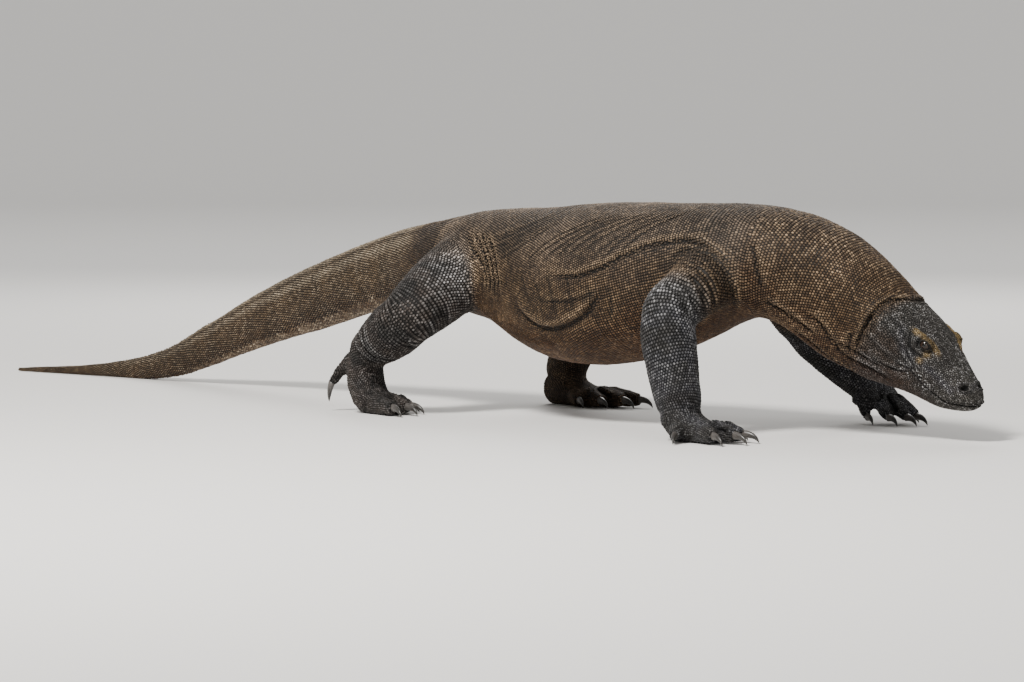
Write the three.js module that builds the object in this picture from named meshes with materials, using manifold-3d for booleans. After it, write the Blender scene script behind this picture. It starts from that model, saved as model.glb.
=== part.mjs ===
// Komodo dragon in mid stride: a life-size closed model in named solids.
// Millimetres, +Z up. The body is laid out with the hips over x = 0, the head toward +X and the
// animal's left side toward +Y; at the end the group moves so that the origin is the middle of
// the bounding box on the floor.
import * as THREE from 'three';
import { mergeVertices } from 'three/addons/utils/BufferGeometryUtils.js';
import Module from 'manifold-3d';

const wasm = await Module();
wasm.setup();

// ---- Driving dimensions -------------------------------------------------------------------
const GAP = 0.3;             // clearance between neighbouring solids
const FLOOR = 0;             // level of the soles and of the resting tail
const BODY_SIDES = 20;       // facets round the trunk, neck and head
const TAIL_SIDES = 14;
const LIMB_SIDES = 12;
const TOE_SIDES = 6;
const CLAW_SIDES = 5;

const HEAD_ORIGIN = [867, 47, 179];          // middle of the head between the ears
const HEAD_YAW = THREE.MathUtils.degToRad(6);
const HEAD_PITCH = THREE.MathUtils.degToRad(37);
const HEAD_ROLL = THREE.MathUtils.degToRad(4);
const HEAD_LENGTH = 203;                     // ears to the tip of the snout
const EYE_AT = [91, 36, 33];                 // in the head's frame: ahead of the ears, aside, up
const EYE_RADIUS = 10.5;
const MOUTH_CORNER = 88;                     // ahead of the ears
const MOUTH_REAR_DROP = 20;                  // mouth line under the head's axis, at its corner
const MOUTH_FRONT_DROP = 5;                  // and at the snout

// Stations along the body: middle of the section, half width, height above and depth below it.
const TAIL = [
  [[-1400, 88, 4], 3, 3, 6],
  [[-1330, 95, 6], 6, 6, 9],
  [[-1230, 105, 9], 9, 9, 12],
  [[-1100, 114, 17], 14, 17, 20],
  [[-971, 113, 35], 20, 27, 29],
  [[-839, 105, 76], 28, 38, 40],
  [[-674, 93, 129], 37, 50, 50],
  [[-505, 75, 175], 45, 58, 60],
  [[-338, 51, 215], 54, 62, 62],
  [[-199, 30, 241], 63, 66, 68],
];
const TRUNK = [
  [[-80, 10, 250], 76, 74, 82],
  [[0, 0, 252], 84, 86, 94],
  [[75, -9, 246], 92, 99, 100],
  [[150, -16, 236], 108, 112, 119],
  [[235, -22, 225], 131, 128, 132],
  [[320, -26, 225], 148, 133, 134],
  [[405, -27, 232], 142, 129, 126],
  [[490, -24, 246], 128, 117, 112],
  [[565, -18, 262], 114, 101, 98],
  [[635, -9, 270], 104, 91, 90],
];
const NECK = [
  [[700, 2, 263], 94, 88, 92],
  [[757, 15, 244], 87, 85, 102],
  [[806, 29, 218], 79, 77, 110],
  [[840, 40, 198], 72, 66, 108],
];
// Stations of the head in its own frame: distance ahead of the ears and height of the middle.
const HEAD = [
  [20, 0, 65, 54, 97],
  [50, 0, 61, 51, 82],
  [84, -1, 53, 49, 67],
  [114, -3, 45, 42, 54],
  [144, -5, 39, 35, 43],
  [172, -3, 35, 26, 29],
  [195, 0, 26, 16, 16],
  [HEAD_LENGTH, 3, 13, 8, 8],
];

// ---- Lofting ------------------------------------------------------------------------------
const vector = (p) => new THREE.Vector3(...p);

// A chain is a smooth run of oval sections. Its parameter counts stations: 0, 1, 2 ...
function chain(stations, reference, { square = () => 2, roll = () => 0 } = {}) {
  const middles = stations.map((s) => vector(s[0]));
  const sizes = stations.map((s) => new THREE.Vector3(s[1], s[2], s[3]));
  const last = stations.length - 1;
  const path = new THREE.CatmullRomCurve3(middles, false, 'centripetal');
  const size = new THREE.CatmullRomCurve3(sizes, false, 'catmullrom', 0.5);
  // The section's middle, its axes and its sizes at one place along the chain.
  function section(u) {
    const t = THREE.MathUtils.clamp(u / last, 0, 1);
    const along = path.getTangent(t);
    const up = vector(reference).addScaledVector(along, -vector(reference).dot(along)).normalize();
    up.applyAxisAngle(along, roll(u));
    const side = up.clone().cross(along);
    return { middle: path.getPoint(t), along, side, up, size: size.getPoint(t), square: square(u) };
  }
  return { last, section };
}

// Closed solid over part of a chain, grown outward by `grow`, as a manifold.
function loft(run, from, to, sides, rings, grow = 0) {
  const shape = new THREE.CylinderGeometry(1, 1, 1, sides, rings);
  const points = shape.attributes.position;
  for (let i = 0; i < points.count; i += 1) {
    const u = THREE.MathUtils.lerp(from, to, 0.5 - points.getY(i));
    const { middle, along, side, up, size, square } = run.section(u);
    const x = points.getX(i);
    const z = points.getZ(i);
    const reach = Math.hypot(x, z);
    const bulge = (Math.abs(x) ** square + Math.abs(z) ** square) ** (1 / square);
    const scale = reach > 0.5 ? reach / bulge : 0;
    const aside = x * scale * (size.x + grow);
    const above = z * scale * ((z > 0 ? size.y : size.z) + grow);
    const ahead = { [from]: -grow, [to]: grow }[u] ?? 0;
    middle.addScaledVector(side, aside).addScaledVector(up, above).addScaledVector(along, ahead);
    points.setXYZ(i, middle.x, middle.y, middle.z);
  }
  return solid(shape);
}

function whole(run, sides, rings, grow = 0) {
  return loft(run, 0, run.last, sides, rings, grow);
}

function solid(geometry) {
  const bare = geometry.clone();
  bare.deleteAttribute('normal');
  bare.deleteAttribute('uv');
  const merged = mergeVertices(bare, 1e-3);
  return new wasm.Manifold(new wasm.Mesh({
    numProp: 3,
    vertProperties: new Float32Array(merged.attributes.position.array),
    triVerts: new Uint32Array(merged.index.array),
  }));
}

function geometryOf(manifold) {
  const mesh = manifold.getMesh();
  const geometry = new THREE.BufferGeometry();
  geometry.setAttribute('position', new THREE.BufferAttribute(mesh.vertProperties, 3));
  geometry.setIndex(new THREE.BufferAttribute(mesh.triVerts, 1));
  geometry.computeVertexNormals();
  return geometry;
}

function ball(radius, at, turns) {
  const shape = new THREE.SphereGeometry(radius, turns, turns / 2);
  shape.translate(...at);
  return solid(shape);
}

function block(size, matrix) {
  const shape = new THREE.BoxGeometry(...size);
  shape.applyMatrix4(matrix);
  return solid(shape);
}

const underFloor = block([4000, 2000, 200], new THREE.Matrix4().makeTranslation(0, 0, FLOOR - 100));
const joined = (solids) => solids.reduce((all, one) => all.add(one));
const minus = (body, ...cutters) => cutters.reduce((left, cutter) => left.subtract(cutter), body);
const onFloor = (body) => body.subtract(underFloor);

// ---- Body ---------------------------------------------------------------------------------
const headFrame = new THREE.Matrix4()
  .makeTranslation(...HEAD_ORIGIN)
  .multiply(new THREE.Matrix4().makeRotationFromEuler(new THREE.Euler(HEAD_ROLL, HEAD_PITCH, HEAD_YAW, 'ZYX')));
const inHead = (p) => vector(p).applyMatrix4(headFrame).toArray();

const headStations = HEAD.map(([ahead, high, wide, up, down]) => [inHead([ahead, 0, high]), wide, up, down]);
const spine = [...TAIL, ...TRUNK, ...NECK, ...headStations];
const NECK_FROM = TAIL.length + TRUNK.length - 0.5;
const HEAD_FROM = TAIL.length + TRUNK.length + NECK.length - 0.45;
const lastStation = spine.length - 1;
const headRoll = (u) => HEAD_ROLL * THREE.MathUtils.smoothstep(u, NECK_FROM, HEAD_FROM);
const headSquare = (u) => 2.3 + 0.6 * THREE.MathUtils.smoothstep(u, HEAD_FROM, HEAD_FROM + 2);
const body = chain(spine, [0, 0, 1], { roll: headRoll, square: headSquare });

// Lengths of the body: name, first and last place on the chain, facets round and rings along.
const LENGTHS = [
  ['tail_tip', 0, 3, TAIL_SIDES, 6],
  ['tail_end', 3, 5, TAIL_SIDES, 5],
  ['tail_middle', 5, 7, TAIL_SIDES, 6],
  ['tail_base', 7, 9.5, TAIL_SIDES, 7],
  ['hips', 9.5, 12, BODY_SIDES, 7],
  ['belly', 12, 16.5, BODY_SIDES, 10],
  ['chest', 16.5, NECK_FROM, BODY_SIDES, 7],
  ['neck', NECK_FROM, HEAD_FROM, BODY_SIDES, 8],
];
// Chain parameter a short way `gap` (mm) beyond u.
function step(run, u, gap) {
  const nudge = 0.01;
  const there = run.section(u + nudge).middle.distanceTo(run.section(u - nudge).middle);
  return u + (gap * 2 * nudge) / there;
}

// The body from the tail's base to the neck, grown by the clearance, to cut the limbs with.
const flesh = joined(LENGTHS.slice(3).map(([, from, to, sides, rings]) => loft(body, from, to, sides, rings, GAP)));

// ---- Head ---------------------------------------------------------------------------------
const headWhole = loft(body, step(body, HEAD_FROM, GAP / 2), lastStation, BODY_SIDES, 13);
const eyes = [-1, 1].map((hand) => ({
  name: hand < 0 ? 'eye_right' : 'eye_left',
  at: inHead([EYE_AT[0], hand * EYE_AT[1], EYE_AT[2]]),
}));

// Wedge under the mouth line: from the corner of the mouth forward, and all below it.
function underMouth(grow) {
  const run = HEAD_LENGTH - MOUTH_CORNER;
  const tilt = Math.atan2(MOUTH_REAR_DROP - MOUTH_FRONT_DROP, run);
  const size = [300, 300, 200];
  const corner = new THREE.Matrix4().makeTranslation(MOUTH_CORNER - grow, 0, -MOUTH_REAR_DROP + grow);
  const turn = new THREE.Matrix4().makeRotationY(-tilt);
  const centre = new THREE.Matrix4().makeTranslation(size[0] / 2, 0, -size[2] / 2);
  return block(size, headFrame.clone().multiply(corner).multiply(turn).multiply(centre));
}

// ---- Limbs --------------------------------------------------------------------------------
// Sections of a limb bone with its flesh: share of the way to the next joint, then half width
// and depth to the front and to the back.
const ARM_UPPER = [[-0.1, 50, 56, 54], [0.3, 50, 55, 54], [0.62, 47, 50, 50], [0.9, 44, 46, 46],
  [1.12, 36, 38, 36], [1.26, 18, 18, 18]];
const ARM_LOWER = [[0, 38, 40, 38], [0.15, 44, 45, 47], [0.4, 43, 44, 48], [0.7, 39, 40, 45], [1, 37, 37, 40]];
const LEG_UPPER = [[-0.1, 60, 66, 60], [0.3, 61, 66, 58], [0.62, 58, 61, 55], [0.9, 52, 54, 48],
  [1.12, 42, 42, 38], [1.26, 20, 20, 20]];
const LEG_LOWER = [[0, 44, 46, 42], [0.15, 50, 52, 47], [0.45, 47, 49, 46], [0.75, 40, 40, 38], [1, 35, 36, 34]];

// Rows of a palm or sole: distance ahead of the wrist or ankle along the foot's heading, height
// of the middle, half width, height above it, depth below it.
const PALM_FLAT = [[0, 54, 30, 30, 32], [6, 28, 38, 30, 31], [32, 18, 40, 23, 22], [58, 15, 37, 17, 19]];
const PALM_LANDING = [[0, 68, 30, 30, 30], [12, 54, 38, 28, 28], [30, 46, 39, 23, 21], [46, 38, 37, 17, 16]];
const SOLE_FLAT = [[-24, 30, 28, 26, 33], [6, 30, 33, 30, 33], [44, 20, 38, 23, 24], [80, 15, 39, 17, 19]];
const SOLE_RAISED = [[0, 102, 29, 30, 30], [0, 66, 34, 29, 27], [10, 34, 36, 25, 30], [36, 15, 37, 18, 19]];

// Toes, from the inner one out: where each leaves the palm as a share of its half width (inner
// side positive), how far behind the palm's front, its swing from the heading (degrees, inward
// positive), its length to the tip of the claw and its half thickness.
const FINGERS = [[0.75, 30, 36, 66, 11], [0.5, 10, 15, 88, 13], [0, 4, 0, 96, 13.5], [-0.5, 10, -14, 94, 13.5],
  [-0.75, 34, -48, 68, 12]];
const TOES = [[0.7, 22, 26, 68, 12], [0.45, 8, 12, 88, 13], [0, 2, 0, 106, 14], [-0.45, 8, -10, 118, 14],
  [-0.75, 66, -52, 84, 12]];
const CLAW_REACH = 24;       // from the end of the toe to the tip of the claw, in plan
const CLAW_ROOT = 4;         // how far a claw is set into its toe
const TOE_ARCH = 9;          // how far a toe's knuckle rises

const LIMBS = [
  {
    name: 'right_fore', bones: ['upper_arm', 'forearm', 'hand'], upper: ARM_UPPER, lower: ARM_LOWER,
    joints: [[612, -85, 255], [622, -208, 192], [678, -232, 52]],
    palm: PALM_FLAT, toes: FINGERS, heading: -3, inner: 1,
  },
  {
    name: 'left_fore', bones: ['upper_arm', 'forearm', 'hand'], upper: ARM_UPPER, lower: ARM_LOWER,
    joints: [[598, 75, 240], [551, 184, 162], [614, 266, 66]],
    palm: PALM_LANDING, toes: FINGERS, heading: -12, inner: -1, fan: 0.4,
  },
  {
    name: 'right_hind', bones: ['thigh', 'shank', 'foot'], upper: LEG_UPPER, lower: LEG_LOWER,
    joints: [[2, -55, 244], [6, -190, 163], [-118, -172, 98]],
    palm: SOLE_RAISED, toes: TOES.slice(0, 4), heading: -4, inner: 1,
    trailing: { root: [-138, -182, 92], bend: [-156, -196, 66], end: [-170, -200, 46], tip: [-178, -198, 16] },
  },
  {
    name: 'left_hind', bones: ['thigh', 'shank', 'foot'], upper: LEG_UPPER, lower: LEG_LOWER,
    joints: [[2, 55, 246], [62, 178, 182], [-30, 206, 50]],
    palm: SOLE_FLAT, toes: TOES, heading: -4, inner: -1,
  },
];

function bone(from, to, sections) {
  return sections.map(([share, ...sizes]) => [vector(from).lerp(vector(to), share).toArray(), ...sizes]);
}

// A foot's own axes: ahead along its heading, and toward its inner side.
function footAxes(limb) {
  const angle = THREE.MathUtils.degToRad(limb.heading);
  const ahead = new THREE.Vector3(Math.cos(angle), Math.sin(angle), 0);
  const inward = new THREE.Vector3(-Math.sin(angle), Math.cos(angle), 0).multiplyScalar(limb.inner);
  return { ahead, inward };
}

// Middles of a toe and of its claw, with half thickness, from the palm to the tip of the claw.
function toePath(limb, [share, behind, swing, length, thick]) {
  const { ahead, inward } = footAxes(limb);
  const [frontAhead, frontHigh, frontWidth] = limb.palm.at(-1);
  const ankle = vector(limb.joints[2]).setZ(FLOOR);
  const root = ankle.addScaledVector(ahead, frontAhead - behind).addScaledVector(inward, share * frontWidth);
  const angle = THREE.MathUtils.degToRad(swing * (limb.fan ?? 1));
  const out = ahead.clone().multiplyScalar(Math.cos(angle)).addScaledVector(inward, Math.sin(angle));
  const toe = length - CLAW_REACH;
  const at = (distance, height) => root.clone().addScaledVector(out, distance).setZ(FLOOR + height).toArray();
  // A station of the toe: its share of the length, its thickness and how far its knuckle rises.
  function station(far, fat, rise) {
    const high = THREE.MathUtils.lerp(frontHigh, thick + 1, Math.max(0, far)) + rise;
    const under = frontHigh > 2 * thick ? thick * fat : Math.min(high + 2, thick * fat + rise + 3);
    return [at(far * toe, high), thick * fat, thick * fat * 0.9, under];
  }
  return {
    toe: [
      station(-0.2, 1, 0),
      station(0.35, 1, TOE_ARCH),
      station(0.72, 0.94, 4),
      station(0.93, 0.82, 1),
      station(1, 0.6, 0),
    ],
    claw: [
      [at(toe - CLAW_ROOT, thick + 1), 4.4, 5.4, 5.4],
      [at(toe + 9, thick + 2.5), 4, 4.8, 4.8],
      [at(toe + 19, thick - 3), 2.8, 3.2, 3.4],
      [at(toe + CLAW_REACH, 0.8), 0.9, 1, 1],
    ],
  };
}

// The toe that trails behind a raised foot hangs free, with its claw pointing down.
function trailingPath({ root, bend, end, tip }) {
  const away = vector(tip).sub(vector(end)).normalize();
  const start = vector(end).addScaledVector(away, -CLAW_ROOT);
  const middle = vector(end).lerp(vector(tip), 0.45).addScaledVector(new THREE.Vector3(-1, 0, 0), 3);
  return {
    toe: [[root, 13, 13, 13], [bend, 11, 11, 11], [end, 8.5, 8.5, 8.5]],
    claw: [[start.toArray(), 5, 6, 6], [middle.toArray(), 4, 4.6, 4.6], [tip, 0.9, 1, 1]],
  };
}

function limbSolids(limb) {
  const [top, bend, end] = limb.joints;
  const forward = [1, 0, 0];
  const upward = [0, 0, 1];
  const { ahead } = footAxes(limb);
  const upper = chain(bone(top, bend, limb.upper), forward);
  const lower = chain(bone(bend, end, limb.lower), forward);
  const wrist = vector(end).setZ(FLOOR);
  const palmRows = limb.palm.map(([far, high, ...sizes]) => [
    wrist.clone().addScaledVector(ahead, far).setZ(FLOOR + high).toArray(), ...sizes]);
  const backOfHand = ahead.clone().add(vector(upward)).normalize().toArray();
  const palm = chain(palmRows, backOfHand);
  const paths = limb.toes.map((row) => toePath(limb, row));
  if (limb.trailing) paths.push(trailingPath(limb.trailing));
  const toes = paths.map((path) => whole(chain(path.toe, upward), TOE_SIDES, 4));
  const clawChains = paths.map((path) => chain(path.claw, upward));
  const claws = clawChains.map((run) => whole(run, CLAW_SIDES, 4));
  const clawCutters = clawChains.map((run) => whole(run, CLAW_SIDES, 4, GAP));
  const upperCutter = whole(upper, LIMB_SIDES, 5, GAP);
  const lowerCutter = whole(lower, LIMB_SIDES, 5, GAP);
  return {
    parts: [
      minus(whole(upper, LIMB_SIDES, 5), flesh),
      minus(whole(lower, LIMB_SIDES, 5), flesh, upperCutter),
      onFloor(minus(joined([whole(palm, LIMB_SIDES, 4), ...toes]), upperCutter, lowerCutter, ...clawCutters)),
    ],
    claws: claws.map(onFloor),
  };
}

// ---- Colours ------------------------------------------------------------------------------
const finish = (color, roughness) => new THREE.MeshStandardMaterial({ color, roughness, metalness: 0 });
const FINISHES = {
  back: finish('#5c5347', 0.75),
  flank: finish('#6d5a45', 0.75),
  leg: finish('#45433f', 0.72),
  head: finish('#595148', 0.7),
  claw: finish('#4b463f', 0.45),
  eye: finish('#2a1c12', 0.12),
};

// ---- Assembly -----------------------------------------------------------------------------
const dragon = new THREE.Group();

function place(name, manifold, material) {
  const mesh = new THREE.Mesh(geometryOf(manifold), material);
  mesh.name = name;
  dragon.add(mesh);
}

for (const [name, from, to, sides, rings] of LENGTHS) {
  const start = from === 0 ? 0 : step(body, from, GAP / 2);
  const end = step(body, to, -GAP / 2);
  const finishOf = name.startsWith('tail') || name === 'hips' || name === 'neck' ? FINISHES.back : FINISHES.flank;
  place(name, onFloor(loft(body, start, end, sides, rings)), finishOf);
}

const eyeSockets = eyes.map(({ at }) => ball(EYE_RADIUS + GAP, at, 10));
place('head', minus(headWhole, underMouth(GAP), ...eyeSockets), FINISHES.head);
place('jaw', headWhole.intersect(underMouth(0)), FINISHES.head);
for (const { name, at } of eyes) place(name, ball(EYE_RADIUS, at, 10), FINISHES.eye);

for (const limb of LIMBS) {
  const { parts, claws } = limbSolids(limb);
  parts.forEach((part, i) => place(`${limb.name}_${limb.bones[i]}`, part, FINISHES.leg));
  claws.forEach((claw, i) => place(`${limb.name}_claw_${i + 1}`, claw, FINISHES.claw));
}

const box = new THREE.Box3().setFromObject(dragon);
const middle = box.getCenter(new THREE.Vector3());
dragon.position.set(-middle.x, -middle.y, -box.min.z);

export default dragon;
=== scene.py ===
import math

import bmesh
import bpy
import numpy as np
from mathutils import Euler, Matrix, Vector, noise
from mathutils.bvhtree import BVHTree
from mathutils.kdtree import KDTree


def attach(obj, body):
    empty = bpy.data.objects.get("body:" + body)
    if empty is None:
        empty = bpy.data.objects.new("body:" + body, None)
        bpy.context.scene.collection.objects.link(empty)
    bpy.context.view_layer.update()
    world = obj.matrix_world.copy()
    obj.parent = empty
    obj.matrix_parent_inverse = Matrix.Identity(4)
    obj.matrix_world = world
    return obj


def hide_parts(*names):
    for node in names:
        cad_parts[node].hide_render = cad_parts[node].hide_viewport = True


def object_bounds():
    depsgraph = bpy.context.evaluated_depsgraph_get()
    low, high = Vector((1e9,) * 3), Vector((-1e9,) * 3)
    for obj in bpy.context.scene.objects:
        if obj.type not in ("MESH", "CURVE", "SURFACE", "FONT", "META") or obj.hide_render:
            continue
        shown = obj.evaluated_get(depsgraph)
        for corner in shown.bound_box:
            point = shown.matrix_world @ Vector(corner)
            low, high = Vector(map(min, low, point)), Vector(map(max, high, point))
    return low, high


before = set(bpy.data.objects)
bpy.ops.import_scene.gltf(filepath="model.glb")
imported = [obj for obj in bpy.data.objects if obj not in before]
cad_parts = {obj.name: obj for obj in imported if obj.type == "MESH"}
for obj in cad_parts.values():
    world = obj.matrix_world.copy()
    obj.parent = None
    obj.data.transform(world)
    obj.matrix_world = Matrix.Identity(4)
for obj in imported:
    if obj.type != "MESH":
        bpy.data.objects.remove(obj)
cad_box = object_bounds()
INSIDE = 0.0004                      # how far every piece stays inside the solids' own box (m)
BOX_LOW, BOX_HIGH = np.array(cad_box) + [[INSIDE], [-INSIDE]]
FLESH = [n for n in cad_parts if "claw" not in n]

# ---- Layout -------------------------------------------------------------------------------
# Places are given in millimetres from the floor under the hips, as the animal is laid out:
# head toward +X, its left side toward +Y. Meshes and materials work in metres.
MM = 0.001
HIPS = np.array([0.18386, 0.00491, 0.0])


def spots(*points):
    """Places in the layout as an array in the frame, in metres."""
    return HIPS + np.array(points, float).reshape(-1, 3) * MM


def layout_x(places):
    """How far toward the head each place is, in the layout (mm)."""
    return (places[:, 0] - HIPS[0]) / MM


HEAD_ORIGIN = (867, 47, 179)
HEAD_TURN = (4, 37, 6)               # roll, pitch and yaw, degrees
HEAD_AXES = np.array(Euler([math.radians(a) for a in HEAD_TURN], "XYZ").to_matrix())
EYE = (91, 36, 33)                   # ahead of the ears, aside, up, in the head's own frame
EYE_RADIUS = 10.5


def in_head(*points):
    """Places in the head's own frame (mm) as an array in the frame, in metres."""
    return spots(HEAD_ORIGIN) + np.array(points, float).reshape(-1, 3) * MM @ HEAD_AXES.T


def head_mm(places):
    """Places in the frame as millimetres in the head's own frame."""
    return (places - spots(HEAD_ORIGIN)) @ HEAD_AXES / MM


# Middle line of the body from the tip of the tail to the snout.
SPINE = [
    (-1400, 88, 4), (-1330, 95, 6), (-1230, 105, 9), (-1100, 114, 17), (-971, 113, 35), (-839, 105, 76),
    (-674, 93, 129), (-505, 75, 175), (-338, 51, 215), (-199, 30, 241), (-80, 10, 250), (75, -9, 246),
    (235, -22, 225), (405, -27, 232), (565, -18, 262), (635, -9, 268), (700, 3, 258), (757, 16, 236),
    (806, 30, 208), (842, 40, 186), (876, 46, 163), (910, 50, 136),
]
# Each limb: its joints from the body down, and the axis of its palm or sole.
LIMBS = {
    "right_fore": {"bones": ("upper_arm", "forearm", "hand"),
                   "joints": [(612, -85, 255), (622, -208, 192), (678, -232, 52)],
                   "palm": [(684, -232, 28), (710, -233, 18), (736, -235, 15)]},
    "left_fore": {"bones": ("upper_arm", "forearm", "hand"),
                  "joints": [(598, 75, 240), (551, 184, 162), (614, 266, 66)],
                  "palm": [(622, 264, 58), (643, 260, 46), (659, 256, 38)]},
    "right_hind": {"bones": ("thigh", "shank", "foot"),
                   "joints": [(2, -55, 244), (6, -190, 163), (-118, -172, 98)],
                   "palm": [(-118, -172, 84), (-108, -173, 34), (-82, -175, 15)]},
    "left_hind": {"bones": ("thigh", "shank", "foot"),
                  "joints": [(2, 55, 246), (62, 178, 182), (-30, 206, 50)],
                  "palm": [(-54, 208, 30), (0, 204, 26), (50, 200, 15)]},
}
TAIL_NODES = ("tail_tip", "tail_end", "tail_middle", "tail_base")
BODY_NODES = [*TAIL_NODES, "hips", "belly", "chest", "neck", "head", "jaw"]


def limb_nodes(name):
    return [f"{name}_{bone}" for bone in LIMBS[name]["bones"]]


def claw_nodes(name):
    return [f"{name}_claw_{n}" for n in range(1, 6)]


# ---- Camera, floor and light ---------------------------------------------------------------
CAMERA_AT = (5.9255, -5.407, 0.557)
CAMERA_AZIMUTH = 46.4                # degrees between its level sight line and +Y
CAMERA_DIP = 3.19
SENSOR = 36
LENS = 165.2


def set_camera():
    data = bpy.data.cameras.new("camera")
    data.sensor_width = SENSOR
    data.lens = LENS
    data.clip_end = 50
    camera = bpy.data.objects.new("camera", data)
    camera.location = CAMERA_AT
    camera.rotation_euler = (math.radians(90 - CAMERA_DIP), 0, math.radians(CAMERA_AZIMUTH))
    bpy.context.scene.collection.objects.link(camera)
    bpy.context.scene.camera = camera


def add_area(name, at, target, size, power, color):
    data = bpy.data.lights.new(name, "AREA")
    data.size = size
    data.energy = power
    data.color = color
    light = bpy.data.objects.new(name, data)
    light.location = at
    light.rotation_euler = (Vector(target) - Vector(at)).to_track_quat("-Z", "Y").to_euler()
    bpy.context.scene.collection.objects.link(light)


def set_light():
    target = (0.0, 0.0, 0.2)
    add_area("key", (1.2, -2.8, 3.2), target, 0.9, 330, (1.0, 0.97, 0.93))
    add_area("fill", (4.3, -3.2, 0.8), target, 2.6, 50, (0.98, 0.98, 1.0))
    add_area("rim", (-2.4, 3.0, 2.8), target, 2.0, 110, (1.0, 0.98, 0.95))
    add_area("backdrop", (-3.0, 3.0, 9.0), (-13.0, 12.5, 2.5), 9.0, 700, (1.0, 1.0, 1.0))
    world = bpy.data.worlds.new("studio")
    world.use_nodes = True
    background = world.node_tree.nodes["Background"]
    background.inputs["Color"].default_value = (0.95, 0.94, 0.93, 1)
    background.inputs["Strength"].default_value = 0.62
    bpy.context.scene.world = world


FLOOR_LEVEL = 13.0                   # radius of the level floor (m), which then sweeps up all round
FLOOR_SWEEP = 6.0
FLOOR_SIDES, SWEEP_STEPS = 96, 18


def set_floor():
    bm = bmesh.new()
    loop = bmesh.ops.create_circle(bm, cap_ends=True, segments=FLOOR_SIDES, radius=FLOOR_LEVEL)["verts"]
    edges = [e for e in bm.edges if e.verts[0] in loop]
    for angle in np.linspace(0, math.pi / 2, SWEEP_STEPS + 1)[1:]:
        extruded = bmesh.ops.extrude_edge_only(bm, edges=edges)["geom"]
        radius = FLOOR_LEVEL + FLOOR_SWEEP * math.sin(angle)
        for vert in (g for g in extruded if isinstance(g, bmesh.types.BMVert)):
            around = vert.co.xy.normalized() * radius
            vert.co = (*around, FLOOR_SWEEP * (1 - math.cos(angle)))
        edges = [g for g in extruded if isinstance(g, bmesh.types.BMEdge)]
    floor = new_object("floor", bm)
    floor.data.shade_smooth()
    material = bpy.data.materials.new("floor paint")
    material.use_nodes = True
    shader = material.node_tree.nodes["Principled BSDF"]
    shader.inputs["Base Color"].default_value = (0.7, 0.69, 0.67, 1)
    shader.inputs["Roughness"].default_value = 0.85
    floor.data.materials.append(material)


def new_object(name, bm):
    mesh = bpy.data.meshes.new(name)
    bm.to_mesh(mesh)
    bm.free()
    return new_mesh_object(name, mesh)


def new_mesh_object(name, mesh):
    piece = bpy.data.objects.new(name, mesh)
    bpy.context.scene.collection.objects.link(piece)
    return piece


# ---- Small maths -----------------------------------------------------------------------------
def unit(vectors):
    length = np.linalg.norm(vectors, axis=-1, keepdims=True)
    return vectors / np.maximum(length, 1e-12)


def ramp(value, low, high):
    """0 below low, 1 above high, smooth between."""
    share = np.clip((value - low) / (high - low), 0, 1)
    return share * share * (3 - 2 * share)


def bell(value, width):
    return np.exp(-((value / width) ** 2))


def distance(places, others):
    return np.linalg.norm(places - others, axis=-1)


def lengths(line):
    """How far along a line of points each one is."""
    return np.concatenate([[0], np.cumsum(distance(line[1:], line[:-1]))])


def at_marks(marks, far, rows):
    """Rows of values, known at distances far, read at other distances."""
    return np.stack([np.interp(marks, far, column) for column in np.asarray(rows, float).T], axis=-1)


CURVE_STEPS = 12                      # between two points of a curve


def smooth_line(points, gap):
    """A Catmull-Rom curve through the points, at even gaps along it."""
    points = np.asarray(points, float)
    ends = [2 * points[0] - points[1], *points, 2 * points[-1] - points[-2]]
    line = []
    for a, b, c, d in zip(ends, ends[1:], ends[2:], ends[3:]):
        for t in np.linspace(0, 1, CURVE_STEPS, endpoint=False):
            bend = (2 * a - 5 * b + 4 * c - d) * t * t + (3 * b - a - 3 * c + d) * t ** 3
            line.append(b + 0.5 * ((c - a) * t + bend))
    line = np.array([*line, points[-1]])
    far = lengths(line)
    return at_marks(np.linspace(0, far[-1], max(2, round(far[-1] / gap) + 1)), far, line)


LINE_REACH = 0.05                     # no place farther than this (m) is measured from a line
FAR_OFF = 1e9


def line_distance(places, line):
    """How far each place is from a line of points, and how far along the line it is."""
    best = np.full(len(places), FAR_OFF)
    along = np.zeros(len(places))
    low, high = line.min(0) - LINE_REACH, line.max(0) + LINE_REACH
    near = np.nonzero(((places > low) & (places < high)).all(1))[0]
    done = 0.0
    for a, b in zip(line, line[1:]):
        step = b - a
        length = np.linalg.norm(step)
        share = np.clip((places[near] - a) @ step / (length * length), 0, 1)
        gap = distance(places[near] - a, share[:, None] * step)
        closer = gap < best[near]
        best[near[closer]] = gap[closer]
        along[near[closer]] = done + share[closer] * length
        done += length
    return best, along


# ---- Skin --------------------------------------------------------------------------------------
VOXEL = 0.0048
SAME_PLACE = 1e-6                     # corners closer than this are one (m)
THIN_NODES = {"tail_tip": 0.006, "tail_end": 0.002}    # swollen while they are fused, then fitted again


def welded(name, swell=0.0):
    """A CAD node's mesh with its triangles joined."""
    bm = bmesh.new()
    bm.from_mesh(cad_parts[name].data)
    bmesh.ops.remove_doubles(bm, verts=bm.verts, dist=SAME_PLACE)
    bm.normal_update()
    for vert in bm.verts:
        vert.co += vert.normal * swell
    return bm


def places_in(bm):
    return np.array([v.co for v in bm.verts])


def node_places(name):
    """The places of a CAD node's corners, each once."""
    bm = welded(name)
    places = places_in(bm)
    bm.free()
    return places


def evaluated_mesh(piece):
    """A piece's mesh with its modifiers applied. The piece itself goes."""
    graph = bpy.context.evaluated_depsgraph_get()
    mesh = bpy.data.meshes.new_from_object(piece.evaluated_get(graph))
    bpy.data.objects.remove(piece)
    return mesh


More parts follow.
